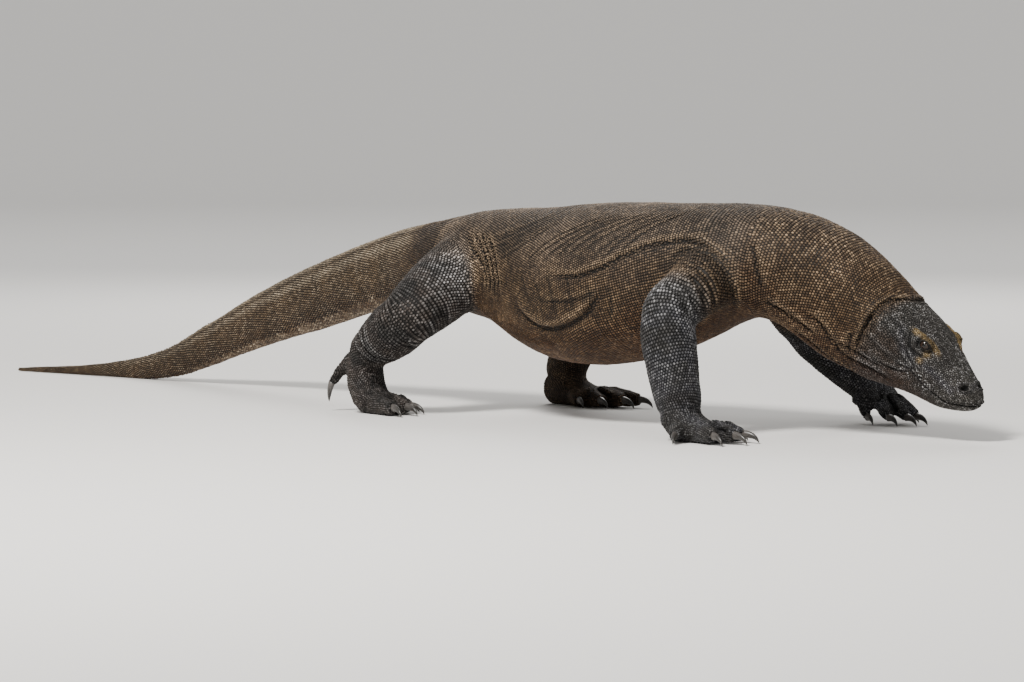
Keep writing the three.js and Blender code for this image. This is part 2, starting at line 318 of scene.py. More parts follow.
def fused_flesh():
    """One closed mesh round all the flesh and the eyeballs."""
    whole = bmesh.new()
    for name in FLESH:
        part = welded(name, THIN_NODES.get(name, 0))
        mesh = bpy.data.meshes.new("part")
        part.to_mesh(mesh)
        part.free()
        whole.from_mesh(mesh)
        bpy.data.meshes.remove(mesh)
    rough = new_object("rough", whole)
    remesh = rough.modifiers.new("fuse", "REMESH")
    remesh.mode = "VOXEL"
    remesh.voxel_size = VOXEL
    mesh = evaluated_mesh(rough)
    bm = bmesh.new()
    bm.from_mesh(mesh)
    bpy.data.meshes.remove(mesh)
    keep_largest(bm)
    return bm


def keep_largest(bm):
    """Deletes every island of faces but the largest."""
    unseen = set(bm.verts)
    islands = []
    while unseen:
        stack = [unseen.pop()]
        island = []
        while stack:
            vert = stack.pop()
            island.append(vert)
            for edge in vert.link_edges:
                other = edge.other_vert(vert)
                if other in unseen:
                    unseen.remove(other)
                    stack.append(other)
        islands.append(island)
    islands.sort(key=len)
    for island in islands[:-1]:
        bmesh.ops.delete(bm, geom=island, context="VERTS")


def node_tree(names):
    """A search tree over CAD nodes, and the node of each of its faces."""
    verts, faces, owner = [], [], []
    for name in names:
        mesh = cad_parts[name].data
        start = len(verts)
        verts.extend(v.co.copy() for v in mesh.vertices)
        for polygon in mesh.polygons:
            faces.append([start + i for i in polygon.vertices])
            owner.append(name)
    return BVHTree.FromPolygons(verts, faces), owner


class Surface:
    """The skin's mesh as arrays: places, edges, triangles and normals."""

    def __init__(self, bm):
        bm.verts.index_update()
        self.at = places_in(bm)
        self.edges = np.array([[e.verts[0].index, e.verts[1].index] for e in bm.edges])
        loops = bm.calc_loop_triangles()
        self.triangles = np.array([[corner.vert.index for corner in tri] for tri in loops])
        self.degree = np.bincount(self.edges.ravel(), minlength=len(self.at))
        self.refresh()

    def refresh(self):
        a, b, c = (self.at[self.triangles[:, k]] for k in range(3))
        flat = np.cross(b - a, c - a)
        total = np.zeros_like(self.at)
        for corner in range(3):
            for axis in range(3):
                total[:, axis] += np.bincount(self.triangles[:, corner], flat[:, axis], len(self.at))
        self.normal = unit(total)

    def eased(self, values, share, times):
        """Values drawn toward the mean of their neighbours, by each vertex's share."""
        values = np.array(values, float)
        flat = values.reshape(len(values), -1)
        a, b = self.edges.T
        share = np.broadcast_to(share, len(values))[:, None]
        for _ in range(times):
            mean = np.empty_like(flat)
            for axis in range(flat.shape[1]):
                total = np.bincount(a, flat[b, axis], len(flat)) + np.bincount(b, flat[a, axis], len(flat))
                mean[:, axis] = total / self.degree
            flat = flat + share * (mean - flat)
        return flat.reshape(values.shape)

    def tree(self):
        return BVHTree.FromPolygons(self.at.tolist(), self.triangles.tolist())


EASING = 40
# How much of each length's roughness is eased away: facets are wide on the trunk, narrow on a toe.
EASE = {"tail_tip": 0.05, "tail_end": 0.07, "tail_middle": 0.2, "tail_base": 0.4, "hips": 0.6, "belly": 0.7,
        "chest": 0.7, "neck": 0.5, "head": 0.14, "jaw": 0.14, "hand": 0.06, "foot": 0.06, "eye": 0.05}
EASE_LIMB = 0.22
FITTED = {"tail_tip": 1.0, "tail_end": 0.8, "hand": 0.75, "foot": 0.75}     # drawn back onto the solids
FINER_FROM = (8, 52)                  # ahead of the ears (mm): the skin is cut finer here, then again
PAST_SNOUT = 230                      # farther ahead than any of the head (mm)
HEAD_ROOM = (90, 130)                 # how far the head reaches up and aside, and down (mm)
FOOT_HIGH, FEET_FROM = 0.075, -0.1    # below this, and ahead of that, the feet are cut finer (m)


def by_node(owner, table, default):
    """A number for each vertex from the name of the CAD node nearest it."""
    looked = {}
    for name in set(owner):
        keys = [key for key in table if name == key or name.endswith("_" + key) or name.startswith(key)]
        looked[name] = table[keys[0]] if keys else default
    return np.array([looked[name] for name in owner])


def nearest_nodes(places, tree, owner):
    found = [tree.find_nearest(p) for p in places.tolist()]
    return [owner[f[2]] for f in found], np.array([f[0] for f in found])


def refine(bm, wanted):
    """Cuts each edge between wanted vertices in two."""
    edges = [e for e in bm.edges if e.verts[0].index in wanted and e.verts[1].index in wanted]
    bmesh.ops.subdivide_edges(bm, edges=edges, cuts=1, use_grid_fill=True)
    bm.verts.index_update()


def put_back(bm, places):
    for vert, place in zip(bm.verts, places.tolist()):
        vert.co = place


def smooth_skin():
    """The fused flesh, eased smooth and made finer on the head, hands and feet."""
    tree, owner_of = node_tree(FLESH)
    bm = fused_flesh()
    skin = Surface(bm)
    owner, _ = nearest_nodes(skin.at, tree, owner_of)
    share = skin.eased(by_node(owner, EASE, EASE_LIMB), 0.5, 12)
    skin.at = skin.eased(skin.at, share, EASING)
    _, onto = nearest_nodes(skin.at, tree, owner_of)
    fit = skin.eased(by_node(owner, FITTED, 0.0), 0.5, 6)
    skin.at += fit[:, None] * (onto - skin.at)
    put_back(bm, skin.at)
    for finer_from in FINER_FROM:
        places = places_in(bm)
        x, y, z = head_mm(places).T
        wanted = (x > finer_from) & (x < PAST_SNOUT) & (np.abs(y) < HEAD_ROOM[0])
        wanted &= (z > -HEAD_ROOM[1]) & (z < HEAD_ROOM[0])
        if finer_from == FINER_FROM[0]:
            wanted |= (places[:, 2] < FOOT_HIGH) & (places[:, 0] > FEET_FROM)
        refine(bm, set(np.nonzero(wanted)[0].tolist()))
        skin = Surface(bm)
        skin.at = skin.eased(skin.at, 0.5, 2)
        put_back(bm, skin.at)
    skin.refresh()
    return bm, skin


# ---- Folds and features ------------------------------------------------------------------------
# Creases of the right side: depth and half width (mm), then the places they run through. The
# left side has the same ones, mirrored about the middle line of the body.
CREASES = {
    "shoulder arc": (4.5, 4.5, [(301, -169, 247), (373, -171, 241), (432, -162, 257), (510, -140, 292),
                                (590, -121, 303), (643, -118, 284), (667, -105, 252), (672, -84, 217)]),
    "armpit rim": (3.5, 4, [(556, -136, 262), (580, -127, 286), (626, -125, 286), (655, -118, 262),
                            (662, -100, 228), (633, -62, 190)]),
    "belly sag": (4.5, 6, [(209, -145, 203), (245, -149, 170), (296, -153, 153), (347, -158, 160),
                           (389, -161, 176), (426, -163, 206), (445, -162, 231)]),
    "flank wrinkle": (1.5, 4.5, [(301, -169, 202), (350, -171, 200), (403, -167, 210), (434, -164, 230)]),
    "throat upper": (5.0, 4.0, [(770, -55, 200), (801, -48, 178), (818, -21, 136), (834, -10, 122),
                                (874, -1, 105), (906, 9, 90)]),
    "throat lower": (5.0, 4.0, [(730, -52, 165), (770, -32, 143), (793, -5, 117), (832, 22, 94)]),
    "throat side": (3.2, 3, [(812, -44, 150), (840, -24, 136), (870, -14, 120), (896, -6, 108)]),
    "gular": (3.0, 3, [(850, -26, 168), (839, -23, 149), (836, -15, 130)]),
    "neck fold": (4.8, 2.8, [(910, 60, 214), (908, 29, 218), (899, 4, 217), (890, -12, 206), (880, -20, 189),
                             (869, -22, 172), (856, -21, 151), (845, -13, 129)]),
    "chest side": (3.5, 5, [(704, -80, 213), (750, -61, 186), (793, -39, 152)]),
    "chest front": (2.5, 5, [(695, -90, 306), (709, -93, 260), (712, -86, 226)]),
}
# Families of wrinkles: depth, half width, how many, and the first and the last line.
FAMILIES = {
    "back": (1.25, 2.8, 9, [(250, -160, 262), (320, -150, 308), (400, -110, 340)],
             [(455, -158, 272), (500, -128, 315), (560, -78, 348)]),
    "loin": (0.9, 3.0, 7, [(150, -128, 262), (220, -140, 288), (300, -130, 322)],
             [(110, -100, 290), (190, -110, 316), (280, -90, 342)]),
    "flank": (0.6, 3.5, 6, [(240, -150, 250), (250, -155, 225), (268, -155, 200)],
              [(440, -164, 235), (452, -160, 205), (440, -150, 175)]),
    "shoulder": (1.8, 2.6, 5, [(571, -136, 250), (590, -130, 278), (626, -128, 284), (652, -120, 262),
                               (662, -102, 230)],
                 [(608, -170, 262), (630, -165, 266), (652, -150, 258), (666, -128, 240), (668, -108, 218)]),
    "groin": (3.8, 3.6, 5, [(86, -88, 308), (130, -114, 277), (158, -129, 237), (163, -129, 196)],
              [(24, -70, 312), (61, -96, 278), (100, -108, 245), (96, -104, 200)]),
}
# The same on the legs that bend in this pose only.
POSE_FAMILIES = {
    "elbow": (6.5, 4.6, 4, [(640, -160, 256), (662, -150, 232), (668, -140, 200)],
              [(634, -204, 240), (659, -209, 216), (669, -200, 188)]),
    "ankle": (3.5, 4.0, 3, [(-84, -215, 150), (-62, -222, 132), (-42, -210, 105), (-38, -180, 84)],
              [(-118, -204, 126), (-96, -214, 104), (-72, -204, 84), (-66, -184, 72)]),
    "knee": (2.2, 3.5, 3, [(70, -168, 190), (62, -150, 168), (50, -130, 150)],
             [(20, -208, 130), (14, -190, 118), (8, -170, 108)]),
}


def spine_aside(x):
    points = np.array(SPINE, float)
    return np.interp(x, points[:, 0], points[:, 1])


def mirrored(points):
    return [(x, 2 * spine_aside(x) - y, z) for x, y, z in points]


def on_skin(line, tree):
    return np.array([tree.find_nearest(p)[0] for p in line.tolist()])


FOLD_STEP = 0.006                     # gap between the points of a fold's line (m)
LIP_ASIDE, LIP_WIDE, LIP_HIGH = 1.9, 1.1, 0.5      # the lip's place, width and height to the groove's


def fold(skin, tree, points, depth, width, wide_ends=0.2):
    """A groove along a line on the skin, with a rounded lip on its upper side.

    Returns the rise in metres, and how strong the groove and the lip are.
    """
    line = smooth_line(points, FOLD_STEP)
    found = [tree.find_nearest(p) for p in line.tolist()]
    line = np.array([f[0] for f in found])
    aside = unit(np.cross(np.array([f[1] for f in found]), np.gradient(line, axis=0)))
    aside *= 1 if aside[:, 2].mean() > 0 else -1
    lip_line = on_skin(line + LIP_ASIDE * width * MM * aside, tree)
    gap, along = line_distance(skin.at, line)
    lip_gap, _ = line_distance(skin.at, lip_line)
    total = distance(line[1:], line[:-1]).sum()
    fade = ramp(along, -0.001, total * wide_ends) * ramp(total - along, -0.001, total * wide_ends)
    groove = fade * bell(gap, width * MM)
    lip = fade * bell(lip_gap, LIP_WIDE * width * MM)
    return depth * MM * (LIP_HIGH * lip - groove), groove, lip


def family_lines(depth, width, count, first, last):
    draw = np.random.default_rng(count)
    for k in range(count):
        share = k / (count - 1)
        points = np.array(first, float) * (1 - share) + np.array(last, float) * share
        points += draw.normal(0, 0.8 * width, (len(points), 3)) * (1, 0, 1)
        yield depth * draw.uniform(0.6, 1.2), width, points.tolist()


def body_creases():
    """Every fold of the body: depth, half width and line."""
    both = list(CREASES.values())
    for family in FAMILIES.values():
        both.extend(family_lines(*family))
    for depth, width, points in both:
        yield depth, width, points
        yield depth, width, mirrored(points)
    for family in POSE_FAMILIES.values():
        yield from family_lines(*family)


def ripples(places, scale):
    """Smooth noise at each place, between about -1 and 1."""
    return np.array([noise.noise(p) for p in (places * scale).tolist()])


# Features of the head in its own frame (mm), for the animal's left; both sides have them.
BROW = [(58, 43, 41), (66, 41.5, 43), (74, 40.5, 44.5), (82, 39.5, 45.8), (90, 37.5, 46.2), (98, 34.5, 44),
        (106, 32, 39.5), (113, 31, 35), (119, 31, 31)]
SNOUT_EDGE = [(122, 28, 30), (140, 25, 27), (160, 22, 24), (174, 19, 22)]
MOUTH = [(92, 50, -9.5), (109, 46, -14), (127, 42, -18), (151, 37, -18.3), (170, 33.5, -16.8),
         (184, 31, -11), (194, 27, -6), (201, 17, -2), (204, 0, -1)]
LIP_BAND = [(50, 56, 34), (58, 56, 23), (69, 56, 11.5), (85, 52.5, 9), (106, 47, 10), (128, 41.5, 9),
            (149, 37.5, 6.5), (166, 33, 4)]
MOUTH_FOLDS = [[(66, 56, 3), (82, 53, -3.5), (96, 50, -9.5)],
               [(70, 55, -15), (84, 52, -12.5), (96, 50, -10)],
               [(62, 55, -30), (77, 52, -26), (94, 48, -15)],
               [(72, 56, 15), (88, 52, 5), (104, 47, -5)]]
EYE_GROOVE = [(60, 45, 39), (66, 50, 32), (71, 52, 25), (78, 51, 19), (90, 49, 17.5), (102, 45, 19)]
SPOTS = [((103, 42, 26), 5.5), ((100, 47, 12), 5)]     # ochre spots before the eye: a place and a reach
NOSTRIL = (178, 19.2, 16.8)
NOSTRIL_SIZE = (4.4, 4.0)
EAR = [(-1, 66, 20), (0, 68, 10), (1, 69, 0)]
# Swellings of the temple and the snout: a place, a reach and a height.
TEMPLE = [((40, 60, -14), 26, 4.5), ((22, 62, 12), 22, 3.0), ((118, 44, 14), 13, 1.2)]
TEMPLE_FOLDS = [[(2, 68, -6), (18, 66, -10), (40, 62, -12), (66, 56, -14)],
                [(8, 62, 26), (30, 58, 22), (52, 52, 16), (70, 50, 6)],
                [(20, 60, 38), (40, 54, 36), (56, 49, 30), (68, 48, 22)],
                [(24, 66, -34), (44, 61, -34), (64, 56, -30), (80, 52, -22)]]
LID_WIDE, LID_HIGH = 8.0, 5.2         # half sizes of the opening between the lids
LID_RADIUS = 11.4                     # of the lids' outside over the eyeball
LID_ROOM = 26                         # how far from an eye the lids reach
BROW_HIGH, BROW_WIDE = 3.0, 4.2
EDGE_STEP = 0.003                     # gap between the points of the head's lines (m)
SCALE_DEPTH = 0.24                    # to the gap between scales
UNEVEN = 0.8                          # how far the hide swells and sinks from place to place
TOES_APART = 60                       # farther apart than this, claws aren't neighbours
# Grooves: depth, half width (mm) and the share of the length over which each end fades.
CLEFT = (6.0, 3.0, 0.12)
MOUTH_GROOVE = (3.4, 1.6, 0.03)
SOCKET_GROOVE = (2.8, 2.8, 0.1)


def both_sides(points):
    """A line of the head in the frame: as given, and mirrored."""
    for hand in (1, -1):
        yield in_head(*[(a, hand * b, c) for a, b, c in points])


def eye_places():
    return [in_head((EYE[0], hand * EYE[1], EYE[2]))[0] for hand in (-1, 1)]


def eye_axes(hand):
    """An eye's own axes in the frame: forward along the lids, upward, and out of the head."""
    out = unit(HEAD_AXES @ np.array([0.18, hand * 0.93, 0.3]))
    ahead = unit(HEAD_AXES @ np.array([1.0, 0.0, 0.06]))
    ahead = unit(ahead - ahead @ out * out)
    return ahead, np.cross(out, ahead) * -hand, out


def toe_gaps():
    """Lines over the clefts between neighbouring toes."""
    for limb in LIMBS:
        lines = list(toe_lines(limb))
        for one, other in zip(lines, lines[1:]):
            if distance(one[-1], other[-1]) < TOES_APART * MM:
                yield (one + other) / 2 + (0, 0, 0.006)


def lid_share(skin, hand, centre):
    """Places about an eye in its own axes, and how far they are from the opening's middle (1 at its rim)."""
    ahead, up, out = eye_axes(hand)
    offset = (skin.at - centre) / MM
    x, y, z = offset @ ahead, offset @ up, offset @ out
    near = (distance(offset, 0) < LID_ROOM) & (z > -6)
    return near, np.where(near, np.hypot(x / LID_WIDE, y / LID_HIGH), 9.0), x, y, z


def deepest(masks, key, value):
    masks[key] = np.maximum(masks[key], value)


def edge_gaps(skin, tree, points):
    """How far the skin is from a line of the head, for each side in turn."""
    for line in both_sides(points):
        yield line_distance(skin.at, on_skin(smooth_line(line, EDGE_STEP), tree))[0]


def sculpt(bm, skin, still):
    """Pulls folds and the features of the head out of the smooth skin. Returns masks for the paint, among
    them painted shade in grooves and pits and painted highlight on the folds' lips.
    """
    tree = skin.tree()
    names = ("crease", "lip", "lips", "ochre", "dark", "pale", "band", "bare")
    masks = {name: np.zeros(len(skin.at)) for name in names}
    rise = np.zeros(len(skin.at))
    on_face = ramp(head_mm(skin.at)[:, 0], 0, 30)
    slow = ripples(skin.at, 24) + 0.5 * ripples(skin.at * (2.2, 1, 1), 48)
    rise += MM * UNEVEN * slow * (1 - 0.6 * on_face) * still
    for depth, width, points in body_creases():
        lift, groove, lip = fold(skin, tree, spots(*points), depth, width)
        rise += lift
        # each groove is painted darker as painted shade, and its lip goes to the lip mask for a painted
        # highlight
        deepest(masks, "crease", groove)
        deepest(masks, "lip", lip * min(1, depth / 3))
    for line in toe_gaps():
        lift, groove, _ = fold(skin, tree, line, *CLEFT)
        rise += lift
        # painted shade in the clefts between the toes
        deepest(masks, "crease", 1.3 * groove)
    # The edge along the top of the snout, the mouth's line and the lips on both its sides.
    for gap in edge_gaps(skin, tree, SNOUT_EDGE):
        rise += 1.2 * MM * bell(gap, 5 * MM)
    for line in both_sides(MOUTH):
        lift, groove, _ = fold(skin, tree, line, *MOUTH_GROOVE)
        rise += lift
        # painted shade in the mouth's groove
        deepest(masks, "crease", 1.2 * groove)
        deepest(masks, "bare", ramp(groove, 0.72, 0.8))
    for gap in edge_gaps(skin, tree, MOUTH):
        deepest(masks, "lips", bell(gap - 6 * MM, 5 * MM))
    for gap in edge_gaps(skin, tree, LIP_BAND):
        rise += 0.9 * MM * bell(gap, 5 * MM)
        deepest(masks, "band", bell(gap, 6.5 * MM))
    for folds, depth, width, paleness in ((MOUTH_FOLDS, 2.2, 2.0, 0.8), (TEMPLE_FOLDS, 2.0, 3.0, 0.3)):
        for line in (line for points in folds for line in both_sides(points)):
            lift, groove, lip = fold(skin, tree, line, depth, width)
            rise += lift
            # painted shade in each fold's groove and painted highlight on its upper lip
            deepest(masks, "crease", 0.85 * groove)
            # the fold's upper lip is painted paler: painted highlight
            deepest(masks, "pale", lip * paleness)
    # The ears: a pit with a raised rim, darkened inside as painted shade.
    for gap in edge_gaps(skin, tree, EAR):
        rise += MM * (1.2 * bell(gap - 6 * MM, 3 * MM) - 6 * bell(gap, 2.6 * MM))
        deepest(masks, "dark", bell(gap, 3.0 * MM))
    # The socket's groove under each eye, darkened as painted shade, with its ochre spots, and the temple's
    # swellings.
    for line in both_sides(EYE_GROOVE):
        lift, groove, _ = fold(skin, tree, line, *SOCKET_GROOVE)
        rise += lift
        deepest(masks, "crease", groove)
        deepest(masks, "dark", 0.55 * ramp(groove, 0.2, 0.9))
    for place, radius in SPOTS:
        for at in both_sides([place]):
            deepest(masks, "ochre", 0.8 * bell(distance(skin.at, at), radius * MM))
    for place, radius, height in TEMPLE:
        for at in both_sides([place]):
            rise += height * MM * bell(distance(skin.at, at), radius * MM)
    # The nostrils: a slanting pit in a swollen rim, darkened inside as painted shade.
    for place in both_sides([NOSTRIL]):
        offset = (skin.at - on_skin(place, tree)) @ HEAD_AXES / MM
        x, y, z = offset.T
        size = np.sqrt(((x - 0.3 * z) / NOSTRIL_SIZE[0]) ** 2 + (z / NOSTRIL_SIZE[1]) ** 2 + (y / 9) ** 2)
        rise += MM * (1.6 * bell(size - 1.7, 0.55) - 6 * bell(size, 0.9))
        deepest(masks, "dark", ramp(-size, -1.3, -0.85))
        deepest(masks, "bare", ramp(-size, -1.05, -0.95))
        deepest(masks, "band", 0.6 * bell(size - 1.9, 0.6))
    skin.at += rise[:, None] * skin.normal
    shape_lids(skin, masks)
    skin.refresh()
    shape_brows(skin, masks)
    skin.refresh()
    put_back(bm, skin.at)
    return masks


def from_eyes(skin):
    """How far each place of the skin is from the nearer eye's middle (mm)."""
    return np.min([distance(skin.at, c) for c in eye_places()], axis=0) / MM


def set_in(bm, skin, pitch):
    """Draws the skin in by the depth of the scales it will carry, but not at the eyes."""
    skin.at -= (SCALE_DEPTH * pitch * ramp(from_eyes(skin), 14, 22))[:, None] * skin.normal
    skin.at = np.clip(skin.at, BOX_LOW, BOX_HIGH)
    skin.refresh()
    put_back(bm, skin.at)


def shape_lids(skin, masks):
    """Lids that hug each eyeball and part over it."""
    for hand, centre in zip((-1, 1), eye_places()):
        out = eye_axes(hand)[2]
        near, almond, x, y, z = lid_share(skin, hand, centre)
        across = np.hypot(x, y)
        ball = np.sqrt(np.maximum(LID_RADIUS ** 2 - across ** 2, 0))
        inner = np.sqrt(np.maximum((EYE_RADIUS - 2.0) ** 2 - across ** 2, 0))
        open_ = almond < 1
        hug = near * ramp(-almond, -2.3, -1.5)
        target = np.where(open_, inner, ball)
        share = np.where(open_, 1.0, hug)
        folds = np.where(near & ~open_, 0.8 * np.cos((almond - 1.0) * 5.6) * bell(almond - 1.3, 0.8), 0)
        skin.at += ((share * (target - z) + folds) * MM)[:, None] * out
        # a dark rim round the opening and a darker ring about it, partly the lids' own colour and partly
        # painted shade in the socket; then painted shade in the fold round the lids
        deepest(masks, "dark", near * (0.9 * bell(almond - 1.0, 0.25) + 0.45 * bell(almond - 1.6, 0.8)))
        deepest(masks, "crease", 0.6 * near * bell(almond - 1.75, 0.3))
        deepest(masks, "bare", almond < 1.12)
        back = np.hypot(x + 15, y - 1) / 4.5           # the pale corner behind the eye
        deepest(masks, "pale", near * bell(back, 1.0) * (x < -9))


def shape_brows(skin, masks):
    """The wavy ridge that overhangs each eye."""
    tree = skin.tree()
    for line in both_sides(BROW):
        line = smooth_line(line, EDGE_STEP)
        wave = 0.0012 * np.sin(np.arange(len(line)) * 1.05)
        line = on_skin(line + wave[:, None] * HEAD_AXES[:, 2], tree)
        gap, along = line_distance(skin.at, line)
        total = distance(line[1:], line[:-1]).sum()
        fade = ramp(along, -0.002, 0.012) * ramp(total - along, -0.002, 0.02)
        skin.at += (BROW_HIGH * MM * fade * bell(gap, BROW_WIDE * MM))[:, None] * skin.normal
        deepest(masks, "ochre", fade * ramp(bell(gap, 5.6 * MM), 0.2, 0.7))


# ---- Markings, with painted highlight along the tail and partly painted light on the far hind leg ---
# Where the dark grey of a leg begins and is full, from its first joint (mm).
LEG_DARK = {"fore": (82, 124), "hind": (40, 90)}
# The far hind leg keeps little of the legs' dark grey: partly its own browner colour, partly painted light
# against the shade beneath the body.
LEG_SHARE = {"left_hind": 0.15}       # the leg that is paler than the rest
BORDER_EASE = 0.6
# Bands along the upper sides of the tail: the pale ones are painted highlight, the others darker lines.
# Degrees round it from the top, their width, and how pale or dark (below 0).
TAIL_HIGHLIGHT_AND_DARK_LINES = [(4, 6, -0.6), (24, 12, 1.0), (40, 4, -0.5), (54, 11, 0.9)]
# Where the beads of a leg are large and pale: a place (mm) and a reach.
BRIGHT_BEADS = [((56, -118, 245), 40), ((630, -205, 240), 40), ((66, 130, 245), 40), ((540, 190, 215), 40)]


def add_region_masks(skin, masks, owner):
    """Where the legs, the underside, the throat and the face are, with soft borders."""
    def part(test):
        return np.array([test(name) for name in owner], float)

    def add(key, values, times):
        masks[key] = skin.eased(values, BORDER_EASE, times)

    leg = np.zeros(len(skin.at))
    for name, parts in LIMBS.items():
        own = part(lambda owned: owned.startswith(name)) > 0
        from_joint = distance(skin.at, spots(parts["joints"][0])) / MM
        dark = ramp(from_joint, *LEG_DARK[name.split("_")[1]])
        # the far hind leg is painted paler, partly as painted light
        leg = np.where(own, dark * LEG_SHARE.get(name, 1), leg)
    add("leg", leg, 14)
    add("hind", part(lambda name: "hind" in name), 14)
    masks["hind"] *= masks["leg"]
    body_part = 1 - part(lambda name: name.startswith(("right_", "left_")))
    add("under", ramp(-skin.normal[:, 2], 0.1, 0.9) * body_part, 8)
    ahead, _, high = head_mm(skin.at).T
    add("face", ramp(ahead, 0, 20) * body_part, 4)
    neck = part(lambda name: name in ("neck", "head", "jaw"))
    add("throat", neck * ramp(-high, 20, 60), 6)
    add("neck", neck * ramp(-ahead, -10, 10), 30)
    add("crown", 0.6 * ramp(high, 12, 34) + ramp(ahead, 120, 165), 4)
    add("tail", part(lambda name: name.startswith("tail")), 40)
    spine = np.array(SPINE, float)
    x, y, z = (skin.at - HIPS).T / MM
    around = np.degrees(np.arctan2(np.abs(y - spine_aside(x)), z - np.interp(x, spine[:, 0], spine[:, 2])))
    tail_band_reach = masks["tail"] * ramp(x, -1250, -900)
    # painted highlight bands go into the pale mask, the darker lines into the dark mask
    for angle, width, share in TAIL_HIGHLIGHT_AND_DARK_LINES:
        deepest(masks, "pale" if share > 0 else "dark", abs(share) * tail_band_reach * bell(around - angle, width))
    masks["bright"] = np.zeros(len(skin.at))
    for place, reach in BRIGHT_BEADS:
        deepest(masks, "bright", bell(distance(skin.at, spots(place)) / MM, reach))
    back_cheek = ramp(-high, -34, -4) * ramp(-ahead, -84, -52)
    low_cheek = ramp(-high, 8, 20) * ramp(-ahead, -130, -80)
    masks["cheek"] = masks["face"] * np.maximum(back_cheek, low_cheek)


# ---- Scales -------------------------------------------------------------------------------------
def hull(points):
    """A small closed solid round a few points, as arrays: its points, faces and corners."""
    bm = bmesh.new()
    for point in points:
        bm.verts.new(point)
    bmesh.ops.convex_hull(bm, input=bm.verts)
    bmesh.ops.dissolve_limit(bm, angle_limit=0.02, verts=bm.verts, edges=bm.edges)
    bmesh.ops.recalc_face_normals(bm, faces=bm.faces)
    bm.verts.index_update()
    at = places_in(bm)
    faces = [[v.index for v in f.verts] for f in bm.faces]
    bm.free()
    return at, faces


def ring(sides, radius, high, ahead=0.0, turn=0.0):
    angles = [2 * math.pi * (k + turn) / sides for k in range(sides)]
    return [(radius * math.cos(a) + ahead, radius * math.sin(a), high) for a in angles]


SUNK = -0.35                          # how deep a scale's foot goes, as a share of its height
TEMPLATES = {
    # A round bead, highest toward its free edge.
    "bead": hull(ring(7, 0.56, SUNK) + ring(5, 0.36, 0.66, 0.03) + [(0.06, 0, 1.0)]),
    # A rounder pebble for the head.
    "pebble": hull(ring(8, 0.56, SUNK) + ring(7, 0.38, 0.62, 0.02) + [(0.04, 0, 1.0)]),
    # A small bead with fewer faces, for the trunk.
    "grain": hull(ring(6, 0.54, SUNK) + ring(4, 0.24, 0.95, 0.05)),
    # A long scale with a keel that rises to its free edge.
    "keel": hull(ring(6, 0.5, SUNK) + [(-0.26, 0, 0.55), (0.4, 0, 1.0)]),
    # A tall one for the crest along the tail.
    "crest": hull(ring(6, 0.5, SUNK) + [(-0.2, 0, 0.6), (0.42, 0, 1.0)]),
    # A flat plate of the belly and the lips.
    "plate": hull(ring(6, 0.52, SUNK, 0, 0.5) + ring(6, 0.4, 0.8, 0, 0.5)),
}
# Height of each kind, as a share of a scale's smaller side.
HEIGHTS = {"bead": 0.28, "pebble": 0.26, "grain": 0.24, "keel": 0.32, "crest": 0.5, "plate": 0.16}


class Coat:
    """Every scale: where it is rooted, how it lies and how big it is."""

    def __init__(self, skin):
        self.skin = skin
        self.tree = skin.tree()
        self.rows = {}

    def add(self, **rows):
        for key, value in rows.items():
            self.rows.setdefault(key, []).append(np.asarray(value))

    def column(self, key):
        return np.concatenate(self.rows[key])

    def root(self, at, face, lies, size, kind):
        """Adds scales at places on faces of the skin."""
        shares = corner_shares(self.skin, at, face)
        normal = unit(carried(self.skin.normal, self.skin, face, shares))
        kinds = np.full(len(at), kind, dtype=object) if isinstance(kind, str) else kind
        self.add(at=at, normal=normal, lies=lies, size=size, face=face, shares=shares, kind=kinds)


def dropped(places, tree, reach):
    """Places dropped onto the nearest of the skin: whether it was in reach, where, and on which face."""
    found = [tree.find_nearest(p) for p in places.tolist()]
    at = np.array([f[0] for f in found])
    face = np.array([f[2] for f in found])
    ok = np.array([f[3] for f in found]) < reach
    return ok, at, face


def corner_shares(skin, at, face):
    """Weights of a face's three corners at places on it."""
    a, b, c = (skin.at[skin.triangles[face, k]] for k in range(3))
    areas = [np.linalg.norm(np.cross(p - at, q - at), axis=1) for p, q in ((b, c), (c, a), (a, b))]
    total = np.maximum(sum(areas), 1e-15)
    return np.stack(areas, axis=1) / total[:, None]


def carried(values, skin, face, shares):
    corners = values[skin.triangles[face]]
    return (corners * shares.reshape(*shares.shape, *[1] * (corners.ndim - 2))).sum(1)


RUN_STEP = 0.002                      # gap between the points of a middle line (m)


class Run:
    """A middle line with a rib cage of rays: rows of scales are laid round it."""

    def __init__(self, points, reference=(0, 0, 1)):
        self.line = smooth_line(points, RUN_STEP)
        self.far = lengths(self.line)
        self.reference = np.array(reference, float)

    def at(self, far):
        """The line's place there, and its directions along, up and aside."""
        behind, middle, ahead = at_marks([far - 2 * RUN_STEP, far, far + 2 * RUN_STEP], self.far, self.line)
        along = unit(ahead - behind)
        up = unit(self.reference - self.reference @ along * along)
        return middle, along, up, np.cross(along, up)


def limb_run(limb):
    return Run(spots(*LIMBS[limb]["joints"], *LIMBS[limb]["palm"]), reference=(1, 0, 0))


def outline(run, far, tree, rays, reach):
    """Where rays from the middle line meet a solid, from the top round one side to the bottom."""
    middle, along, up, side = run.at(far)
    halves = []
    for hand in (1, -1):
        angles = np.linspace(0, math.pi, rays)
        ways = np.cos(angles)[:, None] * up + hand * np.sin(angles)[:, None] * side
        hits = [tree.ray_cast(middle.tolist(), way, reach)[0] for way in ways.tolist()]
        halves.append(np.array([h if h is not None else (np.nan,) * 3 for h in hits]))
    return halves, along


LONGEST_STEP = 0.03                   # round a body between two rays: more is a gap (m)


